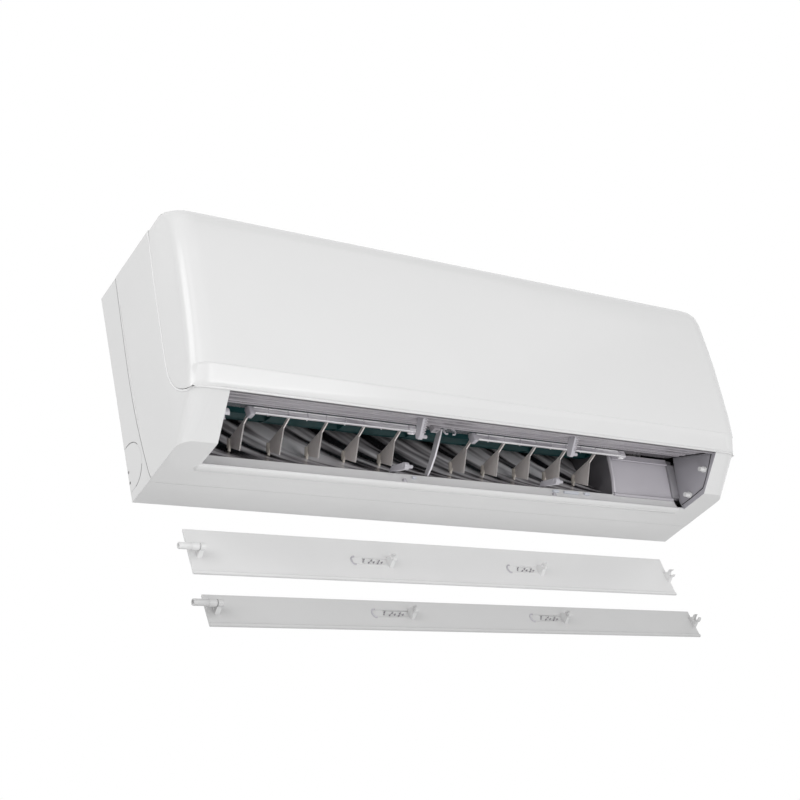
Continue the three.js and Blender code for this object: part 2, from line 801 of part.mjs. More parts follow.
function knockSection(gap) {
  const radius = (knockTop - knockBottom) / 2 - gap;
  const points = [[rimBack - (gap ? 0 : 1), knockMiddle - radius]];
  for (let i = 0; i <= 10; i++) {
    const angle = (-90 + 18 * i) * degree;
    points.push([knockForward - gap - radius + radius * Math.cos(angle), knockMiddle + radius * Math.sin(angle)]);
  }
  points.push([rimBack - (gap ? 0 : 1), knockMiddle + radius]);
  return points;
}

function vanePlaces(firstShare) {
  return [0, 1, 2, 3, 4].map((i) => outletLeft + ductLength * (firstShare + i * vanePitchShare));
}

const vaneHub = shareAt([0.27027, 0.19643]);
const vaneAxis = [0.42, 0.9075];
const vanePinRadius = 1.8;
const vanePitchShare = 0.0837;
const leftFirstShare = 0.0982;
const rightFirstShare = 0.6103;
const hubPoint = (distance) => [vaneHub[0] + vaneAxis[0] * distance, vaneHub[1] + vaneAxis[1] * distance];
const vaneHubLow = -5;
const vanePinLow = -13;
const vaneHubHigh = 6;

function vaneHoles() {
  const places = [...vanePlaces(leftFirstShare), ...vanePlaces(rightFirstShare)];
  return places.map((x) => bar([x, ...hubPoint(vanePinLow - 6)], [x, ...hubPoint(0)], vanePinRadius + 0.35, smallRound));
}

const ribShares = [[0.15233, 0.32143], [0.12776, 0.41071], [0.12383, 0.5], [0.13759, 0.57143]];

function rearChassis() {
  const half = chassisEnd;
  const rim = along(
    [[rimBack, bottomLine(rimBack)], [chassisDepth, bottomLine(chassisDepth)], [chassisDepth, top], [rimBack, top]],
    -half,
    half,
  );
  const inner = [
    [backWallFace + backWall, bottomLine(0) + casingWall],
    [chassisDepth + 1, bottomLine(chassisDepth) + casingWall],
    [chassisDepth + 1, top - casingWall],
    [backWallFace + backWall, top - casingWall],
  ];
  const recess = block([-half + casingWall, half - casingWall], [-1, backWallFace], [bottom + 5, top - casingWall]);
  const tub = cut(rim, along(inner, -half + casingWall, half - casingWall), recess);
  const shell = along(wall(scroll, ductWall), outletLeft - weld, ductRight + weld);
  const endPlates = [
    along(tallPlate, outletLeft - cheekWall, outletLeft),
    along(endPlate, ductRight, ductRight + cheekWall),
  ];
  const bracketSection = [...tallPlate.slice(0, 4), shareAt([0.34398, 0.28571]), ...tallPlate.slice(8)];
  const bracket = along(bracketSection, bracketFrom, bracketFrom + cheekWall);
  const saddle = [
    [backWallFace + 1, saddleLow],
    [backWallFace + 1, saddleHigh],
    [fanForward, saddleHigh],
    shareAt([0.43243, 0.28571]),
    [fanForward - 10, saddleLow],
  ];
  const saddles = [motorFrom + 4, motorTo - 8].map((x) => along(saddle, ductRight + x, ductRight + x + 3));
  const fan = [fanForward, fanHeight];
  const [pf, pz] = lower.pivot;
  const [armHeel, armToe, armTop] = [[0.37346, 0.085], [0.41523, 0.075], [0.41278, 0.10143]].map(shareAt);
  const arm = [armHeel, armToe, [pf - 2, pz - 3.6], [pf + 2, pz - 3.4], [pf + 4, pz], [pf + 2, pz + 3.4], armTop];
  const arms = armX.map((x) => join(louverArm(x, arm), armPin(x, lower.pivot)));
  const ribs = [-0.3, 0, 0.22].map((share) => {
    const x = share * unitWidth;
    return along([[backWallFace + 1, saddleHigh], [backWallFace + 1, levelAt(0.28571)], ...ribShares.map(shareAt)], x, x + 2.4);
  });
  return cut(
    join(tub, shell, ...endPlates, bracket, ...saddles, ...arms, ...ribs),
    barX(fan, outletLeft - overrun, outletLeft + 1, bearingHole),
    barX(fan, ductRight - 1, ductRight + overrun, motorHole, 18),
    barX(fan, ductRight + motorFrom - 1, ductRight + motorTo + 1, motorRadius + 0.4, 24),
    block([-half + 40, bracketFrom - 6], [0, backWallFace + backWall + 1], [plateWindowLow, plateWindowHigh]),
    ...[-1, 1].map((side) =>
      block([side * hookX - hookHalf - 1, side * hookX + hookHalf + 1], [0, backWallFace + backWall + 1], [hookLow - 1, hookHigh + 4]),
    ),
    along(knockSection(0), -half - 1, -half + casingWall + 0.1),
    along(knockSection(0), half - casingWall - 0.1, half + 1),
    ...pipes.map(({ place, radius }) => barX(place, ductRight - 1, bracketFrom + overrun, radius + 0.3)),
    block([ductRight - 1, bracketFrom - 1], [tongueForward - 3, unitDepth], [-unitHeight, tongueHeight + 5.5]),
    ...vaneHoles(),
  );
}

// Mounting plate: pressed steel, screwed to the wall, with two hooks that carry the chassis

const plateThickness = 1.5;
const plateHalfWidth = 0.34648 * unitWidth;
const plateLow = levelAt(0.24286);
const plateRise = 8;
const plateHigh = hookLow + plateRise;
const hookReach = 13.4;
const anchorRadius = 3.5;

function mountingPlate() {
  const sheet = block([-plateHalfWidth, plateHalfWidth], [0, plateThickness], [plateLow, plateHigh]);
  const hooks = [-1, 1].map((side) => {
    const x = [side * hookX - hookHalf, side * hookX + hookHalf];
    const section = [
      [0, hookLow],
      [hookReach, hookLow],
      [hookReach, hookHigh],
      [hookReach - plateThickness, hookHigh],
      [hookReach - plateThickness, hookLow + plateThickness],
      [0, hookLow + plateThickness],
    ];
    return along(section, ...x);
  });
  const hole = (x, z, radius) => bar([x, -1, z], [x, plateThickness + 1, z], radius);
  const anchors = [-0.9, -0.45, 0.45, 0.9].flatMap((share) => [
    hole(share * plateHalfWidth, plateHigh - 14, anchorRadius),
    hole(share * plateHalfWidth, plateLow + 14, anchorRadius),
  ]);
  const windows = [-0.68, 0.68].map((share) => {
    const x = share * plateHalfWidth;
    return block([x - 38, x + 38], [-1, plateThickness + 1], [plateLow + 40, plateHigh - 50]);
  });
  const pads = [-0.97, 0.97].map((share) => {
    const x = share * plateHalfWidth;
    return block([x - 6, x + 6], [plateThickness - weld, backWallFace - fitGap], [-6, 6]);
  });
  return cut(join(sheet, ...hooks, ...pads), ...anchors, ...windows);
}

// Cross-flow fan, its bearing, motor and shaft

const fanGap = 8;
const fanBlades = 20;
const fanDisc = 2;
const fanDiscs = 6;
const bladeDepth = 12;
const bladeThickness = 1.4;
const shaftRadius4 = 4;
const hubRadius = 11;

function fanWheel() {
  const from = outletLeft + fanGap;
  const to = ductRight - fanGap;
  const centre = [fanForward, fanHeight];
  const blades = [];
  for (let i = 0; i < fanBlades; i++) {
    const angle = (360 * i) / fanBlades;
    const outer = toward(centre, angle, fanRadius - 0.6);
    const inner = toward(centre, angle + 10, fanRadius - bladeDepth);
    blades.push(along(strip(inner, outer, bladeThickness / 2, bladeThickness / 2), from + 0.5, to - 0.5));
  }
  const pitch = (to - from - fanDisc) / fanDiscs;
  const discs = [];
  for (let i = 0; i <= fanDiscs; i++) {
    const x = from + i * pitch;
    const disc = barX(centre, x, x + fanDisc, fanRadius, 24);
    const open = barX(centre, x - 1, x + fanDisc + 1, fanRadius - bladeDepth - 1, 18);
    discs.push(i === 0 || i === fanDiscs ? disc : cut(disc, open));
  }
  const hub = barX(centre, to - 16, to - 1, hubRadius, smallRound);
  const stub = barX(centre, from - 12, from + 1, shaftRadius4, smallRound);
  const socket = barX(centre, to - 13, to + 1, shaftRadius4 + 0.2, smallRound);
  return cut(join(...discs, ...blades, hub, stub), socket);
}

const bearingRadius = bearingHole - 0.35;

function fanPieces() {
  const centre = [fanForward, fanHeight];
  const wheelEnd = ductRight - fanGap;
  const motorX = [ductRight + motorFrom, ductRight + motorTo];
  piece("cross_flow_fan", fanWheel(), paint.teal());
  const ring = cut(
    barX(centre, outletLeft - 5, outletLeft + 4, bearingRadius),
    barX(centre, outletLeft - 6, outletLeft + 5, shaftRadius4 + 0.3, smallRound),
  );
  piece("fan_bearing", ring, paint.rubber());
  piece("motor_shaft", barX(centre, wheelEnd - 12, motorX[0] + 20, shaftRadius4, smallRound), paint.steel());
  const motor = cut(
    join(barX(centre, ...motorX, motorRadius, 24), barX(centre, motorX[0] - 5, motorX[0] + 1, 12)),
    barX(centre, motorX[0] - 6, motorX[0] + 22, shaftRadius4 + 0.4, smallRound),
  );
  piece("fan_motor", motor, paint.steel());
  const cover = cut(
    barX(centre, motorX[0] + 12, motorX[1] - 14, motorRadius + 3, 24),
    barX(centre, motorX[0], motorX[1], motorRadius + fitGap, 24),
    block([0, unitWidth], [0, unitDepth], [-unitHeight, fanHeight + 2]),
  );
  piece("motor_cover", cover, paint.dark());
}

// Coil: two finned slabs between end plates, with return bends on the right

const coilThickness = 20;
const coilBack = 14.5;
const coilFootRise = 7.5;
const coilHeadDrop = 48;
const coilLow = barTop + coilFootRise;
const coilHigh = top - coilHeadDrop;
const upperCoilHigh = shareAt([0.55037, 0.9]);
const upperCoilLow = shareAt([0.16708, 0.70714]);
const coilLeft = outletLeft + fitGap + coilPlate + fitGap;
const bendRadius = 3.5;
const bendCount = 6;

const coilFoot = () => {
  const [forward, z] = filterAt(coilLow);
  return [forward - coilBack, z];
};
const coilTop = () => {
  const [forward, z] = filterAt(coilHigh);
  return [forward - coilBack, z];
};

// A half-round return bend between two tube ends.
function bend(x, [f1, z1], [f2, z2]) {
  const reach = Math.hypot(f2 - f1, z2 - z1) / 2;
  const points = [];
  for (let i = 0; i <= 6; i++) {
    const angle = 30 * i * degree;
    const along1 = (1 - Math.cos(angle)) / 2;
    const out = reach * Math.sin(angle);
    points.push(new THREE.Vector3(x + out, -(f1 + (f2 - f1) * along1), z1 + (z2 - z1) * along1));
  }
  const path = new THREE.CatmullRomCurve3(points);
  const section = new THREE.Shape();
  section.absarc(0, 0, bendRadius, 0, 2 * Math.PI);
  const body = new THREE.ExtrudeGeometry(section, { steps: 6, curveSegments: 3, extrudePath: path });
  const stubs = [[f1, z1], [f2, z2]].map((p) => barX(p, x - coilPlate - fitGap, x + 1, bendRadius, smallRound));
  return join(solidOf(body), ...stubs);
}

function coilPieces() {
  const thick = coilThickness / 2;
  const slabs = {
    front_coil: strip(coilFoot(), coilTop(), thick, thick),
    upper_coil: strip(upperCoilLow, upperCoilHigh, thick, thick),
  };
  for (const [name, section] of Object.entries(slabs)) {
    piece(name, along(section, coilLeft, coilRight - fitGap), paint.aluminium());
    piece(name + "_left_plate", along(section, outletLeft + fitGap, outletLeft + fitGap + coilPlate), paint.steel());
    piece(name + "_right_plate", endPlateWithBends(section, name === "front_coil"), paint.steel());
  }
}

function endPlateWithBends(section, front) {
  const plate = along(section, coilRight, coilRight + coilPlate);
  if (!front) return plate;
  const foot = coilFoot();
  const head = coilTop();
  const at = (share) => [foot[0] + (head[0] - foot[0]) * share, foot[1] + (head[1] - foot[1]) * share];
  const bends = [];
  for (let i = 0; i < bendCount; i++) {
    bends.push(bend(coilRight + coilPlate + 1, at((i + 0.2) / bendCount), at((i + 0.7) / bendCount)));
  }
  return join(plate, ...bends);
}

// Air filters, each a light frame with a net, sliding in the frame's guides

const filterRim = 7;
const filterNet = 0.8;
const filterRib = 2.4;
const filterRibShares = [0.25, 0.5, 0.75];

function filterSolid(xLow, xHigh) {
  const foot = filterFoot;
  const head = filterAt(filterHead[1]);
  const half = filterThickness / 2;
  const at = (share) => [foot[0] + (head[0] - foot[0]) * share, foot[1] + (head[1] - foot[1]) * share];
  const rim = cut(
    along(strip(foot, head, half, half), xLow, xHigh),
    along(strip(at(0.035), at(0.965), half + 1, half + 1), xLow + filterRim, xHigh - filterRim),
  );
  const net = along(strip(at(0.02), at(0.98), filterNet / 2, filterNet / 2), xLow + 2, xHigh - 2);
  const ribs = filterRibShares.flatMap((share) => {
    const x = xLow + share * (xHigh - xLow);
    return [
      along(strip(at(0.03), at(0.97), half - 0.4, half - 0.4), x - filterRib / 2, x + filterRib / 2),
      along(strip(at(share - 0.006), at(share + 0.006), half - 0.6, half - 0.6), xLow + 3, xHigh - 3),
    ];
  });
  return join(rim, net, ...ribs);
}

// Top grille: bars along the unit on cross ribs

const grilleBars = 8;
const grilleRibs = 9;
const grilleThickness = 2.6;
const grilleBar = 2.6;

function topGrille() {
  const x = [-frameEnd + grilleEnd + fitGap, frameEnd - grilleEnd - fitGap];
  const depth = [grilleRear + fitGap, grilleFront - fitGap];
  const z = [top - grilleThickness, top - 0.2];
  const barZ = [z[0] + 0.4, z[1] - 0.3];
  const ribZ = [z[0] + 0.8, z[1] - 0.6];
  const rim = cut(block(x, depth, z), block([x[0] + 5, x[1] - 5], [depth[0] + 4, depth[1] - 4], [0, unitHeight]));
  const bars = [];
  for (let i = 1; i < grilleBars; i++) {
    const forward = depth[0] + ((depth[1] - depth[0]) * i) / grilleBars;
    bars.push(block([x[0] + 1, x[1] - 1], [forward - grilleBar / 2, forward + grilleBar / 2], barZ));
  }
  for (let i = 1; i < grilleRibs; i++) {
    const at = x[0] + ((x[1] - x[0]) * i) / grilleRibs;
    bars.push(block([at - grilleBar / 2, at + grilleBar / 2], [depth[0] + 1, depth[1] - 1], ribZ));
  }
  return join(rim, ...bars);
}

// Vanes: upright blades on raked hubs, joined by a link bar

const vaneThickness = 1.6;
const vaneRake = 0.19;
const linkDrop = 5.25;
const linkPinForward = 0.52826 * unitDepth;
const linkPinAt = [linkPinForward, ductRoof(linkPinForward) - linkDrop];
const linkPinRadius = 1.6;
const linkPinReach = 4.2;
const linkClear = 0.35;
const linkWidth = 6.4;
const linkThickness = 2.2;
const linkTails = { left: 15, right: 44 };
const linkPinX = vaneRake * (linkPinAt[1] - vaneHub[1]);
const vaneSection = [
  [vaneHub[0] + 2, vaneHub[1] + 7],
  shareAt([0.29484, 0.16607]),
  shareAt([0.39558, 0.10893]),
  shareAt([0.45209, 0.21429]),
  [linkPinAt[0] - 1.5, linkPinAt[1] - 3.1],
  [linkPinAt[0] + 1, linkPinAt[1] + 0.9],
  [linkPinAt[0] - 3.5, linkPinAt[1] + 1.1],
  shareAt([0.44472, 0.23036]),
];

function vaneSolid() {
  const plate = along(vaneSection, -vaneThickness / 2, vaneThickness / 2);
  const tip = (distance) => [
    linkPinX,
    linkPinAt[0] + vaneAxis[0] * distance,
    linkPinAt[1] + vaneAxis[1] * distance,
  ];
  return join(
    leaned(plate, vaneRake, vaneHub[1]),
    bar([0, ...hubPoint(vaneHubLow)], [0, ...hubPoint(vaneHubHigh)], 3, smallRound),
    bar([0, ...hubPoint(vanePinLow)], [0, ...hubPoint(vaneHubLow + 1)], vanePinRadius, smallRound),
    bar(tip(-3), tip(linkPinReach), linkPinRadius, 8),
  );
}

// A bar over the vanes' pins, from the first to past the last.
function linkBar(places, tail) {
  const start = places[0] + linkPinX - 5;
  const end = places[places.length - 1] + linkPinX + tail;
  const low = [linkPinAt[0] + vaneAxis[0] * 1.6, linkPinAt[1] + vaneAxis[1] * 1.6];
  const high = [low[0] + vaneAxis[0] * linkThickness, low[1] + vaneAxis[1] * linkThickness];
  const body = along(strip(low, high, linkWidth / 2, linkWidth / 2), start, end);
  const holes = places.map((x) => {
    const at = (distance) => [
      x + linkPinX,
      linkPinAt[0] + vaneAxis[0] * distance,
      linkPinAt[1] + vaneAxis[1] * distance,
    ];
    return bar(at(-1), at(linkPinReach + 3), linkPinRadius + linkClear, smallRound);
  });
  return cut(body, ...holes);
}

function vaneGroup(side, firstShare) {
  const places = vanePlaces(firstShare);
  places.forEach((x, i) => {
    const mesh = piece("vane_" + side + "_" + (i + 1), vaneSolid(), paint.vaneGrey());
    mesh.position.x = x;
  });
  piece("vane_link_" + side, linkBar(places, linkTails[side]), paint.clearBar());
}

// Centre post between the two vane groups

const postShare = 0.5217;
const postLean = 0.3;
const postThickness = 2.4;
const postHead = [0.55037 * unitDepth, 0.50123 * unitDepth];
const postFoot = levelAt(0.07857);
const postShares = [
  [0.46192, 0.21429],
  [0.40295, 0.13214],
  [0.35872, 0.09571],
  [0.39312, 0.0775],
  [0.43243, 0.1],
  [0.47666, 0.14286],
  [0.51597, 0.2],
];
const postSection = [...postHead.map((forward) => [forward, ductRoof(forward) - fitGap]), ...postShares.map(shareAt)];

function centrePost() {
  const x = outletLeft + postShare * ductLength;
  const plate = along(postSection, x - postThickness / 2, x + postThickness / 2);
  return leaned(plate, postLean, (ductRoof((postHead[0] + postHead[1]) / 2) + postFoot) / 2);
}

// Blank plate and end cap that close the outlet beside the duct

const blankLow = shareAt([0.41474, 0.07357]);
const blankHigh = [tongueForward - 2.4, tongueHeight - 1.6];
const blankThickness = 2;
const capSetBack = 5;

function blankPieces() {
  const from = ductRight + cheekWall + fitGap;
  const split = outletRight - panEndRight;
  piece(
    "outlet_blank_plate",
    along(strip(blankLow, blankHigh, blankThickness, 0), from, split),
    paint.plateGrey(),
  );
  const low = [blankLow[0] - capSetBack, blankLow[1]];
  const high = [blankHigh[0] - capSetBack, blankHigh[1]];
  piece(
    "outlet_end_cap",
    along(strip(low, high, blankThickness, capSetBack * 0.7), split + fitGap, outletRight - fitGap),
    paint.dark(),
  );
}

// Louver motors behind the right cheek, and their drive stubs

const shaftRadius = 4.4;
const motorBody = 12;
const motorLength = 18;
const motorShift = 7;
const motorX = outletRight + cheekWall + fitGap;

function louverMotor(louver, angle) {
  const centre = toward(louver.pivot, angle, motorShift);
  return barX(centre, motorX, motorX + motorLength, motorBody, 18);
}

function driveStub(louver) {
  const end = outletRight - louverEndGap - 2 - endClipWidth - 0.5;
  return join(
    barX(louver.pivot, end, outletRight - 3, stubRadius, smallRound),
    barX(louver.pivot, outletRight - 3.4, motorX - 0.3, shaftRadius),
  );
}

// Control box with its board, terminal block and cover

const boxFrom = bracketFrom + cheekWall + 4;
const boxTo = chassisEnd - casingWall - 5;
const boxForward = 0.47174 * unitDepth;
const boxDrop = 36;
const boxLow = levelAt(0.32857);
const boxHigh = top - boxDrop;
const boxWall = 2;

function controlPieces() {
  const x = [boxFrom, boxTo];
  const back = backWallFace + backWall + fitGap;
  const outer = block(x, [back, boxForward], [boxLow, boxHigh]);
  const inner = block([x[0] + boxWall, x[1] - boxWall], [back + boxWall, boxForward + 1], [boxLow + boxWall, boxHigh - boxWall]);
  piece("control_box", cut(outer, inner), paint.dark());
  const clear = boxWall + fitGap;
  const boardBack = back + boxWall + fitGap;
  const board = block([x[0] + clear, x[1] - clear], [boardBack, boardBack + 1.6], [boxLow + clear, boxHigh - clear]);
  const relay = block([x[0] + 12, x[0] + 34], [boardBack, boardBack + 18], [boxHigh - 40, boxHigh - 16]);
  const capacitor = bar([x[1] - 22, boardBack, boxHigh - 34], [x[1] - 22, boardBack + 30, boxHigh - 34], 11);
  piece("control_board", join(board, relay, capacitor), paint.board());
  const terminals = block([x[0] + 12, x[1] - 14], [boardBack + 2, boardBack + 20], [boxLow + 10, boxLow + 32]);
  piece("terminal_block", terminals, paint.plateGrey());
  const lid = block(x, [boxForward + fitGap, boxForward + fitGap + boxWall], [boxLow, boxHigh]);
  piece("control_box_cover", lid, paint.frameWhite());
}

// Display module and manual button on the frame's lower bar, behind the panel

const displayCentre = 0.22700 * unitWidth;
const displayWidth = 96;
const displayHeight = [levelAt(0.18214), levelAt(0.25)];
const displayFillShare = 0.685;
const displayDepth = displayFillShare * (panelFace(displayHeight[0], panelWall) - barFront);
const buttonRadius = 5;
const buttonStem = 2.4;
const buttonHead = 2.2;
const buttonTravel = 2.5;

function displayModule() {
  const x = [displayCentre - displayWidth / 2, displayCentre + displayWidth / 2];
  const face = barFront + fitGap + displayDepth;
  const body = block(x, [barFront + fitGap, face], displayHeight);
  const window = block([x[0] + 8, x[1] - 8], [face - 1, face + 1], [displayHeight[0] + 5, displayHeight[1] - 5]);
  return cut(body, window);
}

function manualButton() {
  const z = buttonHeight;
  const face = barFront + buttonTravel + 0.4;
  return join(
    bar([buttonPlace, face, z], [buttonPlace, face + buttonHead, z], buttonRadius),
    bar([buttonPlace, barBack - 2, z], [buttonPlace, face + 1, z], buttonStem, smallRound),
  );
}

// Small parts: knock-outs, screws, pipes and drain spout

const nutRadius = 11;
const nutLength = 18;
const pipeEnd = 0.17921 * unitWidth;

function frameScrew(x) {
  const z = screwHeight;
  return join(
    bar([x, barFront + 0.3, z], [x, barFront + 0.3 + screwHeadDepth, z], screwHead, smallRound),
    bar([x, panFrontForward - 6, z], [x, barFront + 1, z], screwShank, smallRound),
  );
}

function smallPieces() {
  const from = chassisEnd - casingWall;
  piece("pipe_knockout_left", along(knockSection(fitGap), -chassisEnd, -from), paint.frameWhite());
  piece("pipe_knockout_right", along(knockSection(fitGap), from, chassisEnd), paint.frameWhite());
  screwX.forEach((x, i) => piece("frame_screw_" + (i + 1), frameScrew(x), paint.steel()));
  for (const { name, place, radius } of pipes) {
    piece(name, barX(place, pipeEnd, boxFrom - 2, radius, smallRound), paint.copper());
    const nut = cut(
      barX(place, pipeEnd + 2, pipeEnd + 2 + nutLength, radius + 4, 6),
      barX(place, pipeEnd, pipeEnd + 4 + nutLength, radius + 0.3, smallRound),
    );
    piece(name.replace("pipe", "flare_nut"), nut, paint.brass());
  }
}

// The whole unit

piece("mounting_plate", mountingPlate(), paint.steel());
piece("rear_chassis", rearChassis(), paint.frameWhite());
piece("front_frame", frontFrame(), paint.frameWhite());
piece("front_panel", frontPanel(), paint.glossWhite());
piece("top_grille", topGrille(), paint.frameWhite());
piece("drain_pan", drainPan(), paint.ductGrey());
fanPieces();
coilPieces();
piece("air_filter_left", filterSolid(outletLeft + fitGap, mullionX - railWidth / 2 - fitGap), paint.dark());
piece("air_filter_right", filterSolid(mullionX + railWidth / 2 + fitGap, filterRight - fitGap), paint.dark());
vaneGroup("left", leftFirstShare);
vaneGroup("right", rightFirstShare);
piece("centre_post", centrePost(), paint.vaneGrey());
blankPieces();
piece("upper_louver_motor", louverMotor(upper, 140), paint.steel());
piece("lower_louver_motor", louverMotor(lower, 60), paint.steel());
piece("upper_drive_stub", driveStub(upper), paint.frameWhite());
piece("lower_drive_stub", driveStub(lower), paint.frameWhite());
controlPieces();
piece("display_module", displayModule(), paint.dark());
piece("manual_button", manualButton(), paint.louverWhite());
smallPieces();
hangLouver("upper", upper);
hangLouver("lower", lower);

export default unit;
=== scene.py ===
"""Wall-hung split air conditioner, indoor unit, dressed for a studio picture.

The unit hangs on its wall plate with the two outlet louvers taken off below it. X runs along the
unit, the wall is behind it at Y = 0, the front faces -Y and Z is up. Studio lengths are in metres.
Pieces are placed in mm as x, forward and height, where forward is the distance from the wall.
"""

import json
import math

import bpy
from mathutils import Matrix, Vector

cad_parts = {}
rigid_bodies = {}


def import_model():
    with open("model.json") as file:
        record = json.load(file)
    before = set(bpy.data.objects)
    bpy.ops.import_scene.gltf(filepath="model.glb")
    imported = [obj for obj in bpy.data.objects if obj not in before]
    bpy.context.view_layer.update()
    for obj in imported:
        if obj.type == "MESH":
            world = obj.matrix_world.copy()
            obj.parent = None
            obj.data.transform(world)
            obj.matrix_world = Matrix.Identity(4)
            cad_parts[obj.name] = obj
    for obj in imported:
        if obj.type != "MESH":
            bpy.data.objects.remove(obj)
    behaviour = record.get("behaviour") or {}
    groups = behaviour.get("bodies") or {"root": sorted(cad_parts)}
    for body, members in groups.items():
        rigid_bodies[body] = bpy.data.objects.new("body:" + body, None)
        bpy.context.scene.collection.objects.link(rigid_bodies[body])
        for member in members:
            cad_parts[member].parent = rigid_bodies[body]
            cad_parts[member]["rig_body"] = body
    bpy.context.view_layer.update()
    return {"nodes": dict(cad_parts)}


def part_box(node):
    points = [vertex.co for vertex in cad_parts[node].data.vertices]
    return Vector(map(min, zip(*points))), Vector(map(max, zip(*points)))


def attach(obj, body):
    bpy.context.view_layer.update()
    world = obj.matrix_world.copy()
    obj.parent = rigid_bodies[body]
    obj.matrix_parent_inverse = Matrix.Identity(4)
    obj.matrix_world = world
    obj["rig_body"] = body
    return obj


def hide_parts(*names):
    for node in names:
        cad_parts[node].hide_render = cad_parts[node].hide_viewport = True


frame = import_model()
mm = 0.001

# --------------------------------------------------------------------------------------------------
# Studio: a camera low on the left that looks up at the outlet, a white backdrop all round, five
# soft boxes and a pale floor far below. The outlet's box in front shines straight into the outlet.

eye = Vector((-1.0873, -1.2792, -0.8857))
ahead = Vector((0.56607781, 0.66555986, 0.48640105))
upward = Vector((-0.10863058, -0.52466825, 0.84434746))
aim = Matrix((ahead.cross(upward), upward, -ahead)).transposed().to_4x4()
camera = bpy.data.objects.new("camera", bpy.data.cameras.new("camera"))
bpy.context.scene.collection.objects.link(camera)
camera.matrix_world = Matrix.Translation(eye) @ aim
camera.data.lens = 64.395
camera.data.sensor_width = 36
camera.data.clip_start = 0.05
camera.data.clip_end = 60
bpy.context.scene.camera = camera
bpy.context.scene.view_settings.view_transform = "Standard"


class Wire:
    """One value on its way between nodes. Sums on it add Math nodes, and node() adds any kind."""

    def __init__(self, tree, socket=None):
        self.tree = tree
        self.socket = socket

    def node(self, kind, settings=None, inputs=None, output=0):
        """A new node with its settings and inputs filled in, as the wire from one output."""
        made = self.tree.nodes.new(kind)
        for name, value in (settings or {}).items():
            setattr(made, name, value)
        for name, value in (inputs or {}).items():
            if isinstance(value, Wire):
                self.tree.links.new(value.socket, made.inputs[name])
            else:
                made.inputs[name].default_value = value
        return Wire(self.tree, made.outputs[output])

    def ramp(self, stops):
        """This value run through a colour ramp, whose stops are places and colours."""
        made = self.tree.nodes.new("ShaderNodeValToRGB")
        while len(made.color_ramp.elements) < len(stops):
            made.color_ramp.elements.new(1)
        for stop, (place, shade) in zip(made.color_ramp.elements, stops):
            stop.position = place
            stop.color = (*shade, 1)
        self.tree.links.new(self.socket, made.inputs[0])
        return Wire(self.tree, made.outputs[0])

    def calc(self, operation, first, second):
        return self.node("ShaderNodeMath", {"operation": operation}, {0: first, 1: second})

    def __add__(self, other):
        return self.calc("ADD", self, other)

    def __radd__(self, other):
        return self.calc("ADD", other, self)

    def __mul__(self, other):
        return self.calc("MULTIPLY", self, other)

    def __truediv__(self, other):
        return self.calc("DIVIDE", self, other)


white = (1, 1, 1, 1)
room_strength, backdrop_strength = 0.405, 1.0
world = bpy.data.worlds.new("studio")
bpy.context.scene.world = world
world.use_nodes = True
world.node_tree.nodes.clear()
sky = Wire(world.node_tree)
camera_ray = sky.node("ShaderNodeLightPath", output="Is Camera Ray")
glossy_ray = sky.node("ShaderNodeLightPath", output="Is Glossy Ray")
through_ray = sky.node("ShaderNodeLightPath", output="Is Transmission Ray")
seen = sky.calc("MAXIMUM", sky.calc("MAXIMUM", camera_ray, glossy_ray), through_ray)
room = sky.node("ShaderNodeBackground", inputs={"Color": white, "Strength": room_strength})
backdrop = sky.node("ShaderNodeBackground", inputs={"Color": white, "Strength": backdrop_strength})
lit = sky.node("ShaderNodeMixShader", inputs={0: seen, 1: room, 2: backdrop})
world_end = world.node_tree.nodes.new("ShaderNodeOutputWorld")
world.node_tree.links.new(lit.socket, world_end.inputs["Surface"])


def soft_box(name, place, target, width, height, power, roll):
    """A rectangular lamp that faces its target, rolled about its own axis by some degrees."""
    lamp = bpy.data.lights.new(name, "AREA")
    lamp.shape = "RECTANGLE"
    lamp.size, lamp.size_y, lamp.energy = width, height, power
    stand = bpy.data.objects.new(name, lamp)
    bpy.context.scene.collection.objects.link(stand)
    stand.location = place
    stand.rotation_mode = "QUATERNION"
    turn = Matrix.Rotation(math.radians(roll), 3, "Z").to_quaternion()
    stand.rotation_quaternion = (Vector(target) - Vector(place)).to_track_quat("-Z", "Y") @ turn


# Name, place, target, width, height, power and roll of each.
soft_box("slanted_soft_box", (1.42, -2.3, 1.71), (1.42, 0, 1.71), 3.6, 1.9, 10, 37)
soft_box("left_soft_box", (-2.5, -1.0, 0.5), (0, -0.1, 0), 1.5, 2.0, 30, 0)
soft_box("corner_soft_box", (-1.7, -2.5, 0.6), (-0.4, -0.1, 0), 0.5, 2.2, 4, 0)
soft_box("low_soft_box", (0.1, -0.5, -1.65), (0.1, -0.1, 0), 1.6, 0.8, 6.5, 0)
soft_box("outlet_soft_box", (0.5, -2.5, -0.9), (0, -0.1, -0.1), 1.4, 0.9, 17, 0)


def finish(name, build, **fixed):
    """A material whose build function takes the Object coordinates and gives the varied sockets."""
    made = bpy.data.materials.new(name)
    made.use_nodes = True
    shader = made.node_tree.nodes["Principled BSDF"]
    for socket, value in fixed.items():
        shader.inputs[socket.replace("_", " ")].default_value = value
    at = Wire(made.node_tree).node("ShaderNodeTexCoord", output="Object")
    for socket, value in build(at).items():
        if isinstance(value, Wire):
            made.node_tree.links.new(value.socket, shader.inputs[socket])
        else:
            shader.inputs[socket].default_value = value
    return made


def blend(share, low, high):
    """A colour between two, by a share from 0 to 1."""
    mix_output = 2
    inputs = {0: share, 6: (*low, 1), 7: (*high, 1)}
    return share.node("ShaderNodeMix", {"data_type": "RGBA"}, inputs, mix_output)


def noise(at, scale, detail=2.0):
    return at.node("ShaderNodeTexNoise", {}, {"Vector": at, "Scale": scale, "Detail": detail})


def stretched(at, along, across, up):
    scale = (along, across, up)
    return at.node("ShaderNodeMapping", {"vector_type": "POINT"}, {"Vector": at, "Scale": scale})


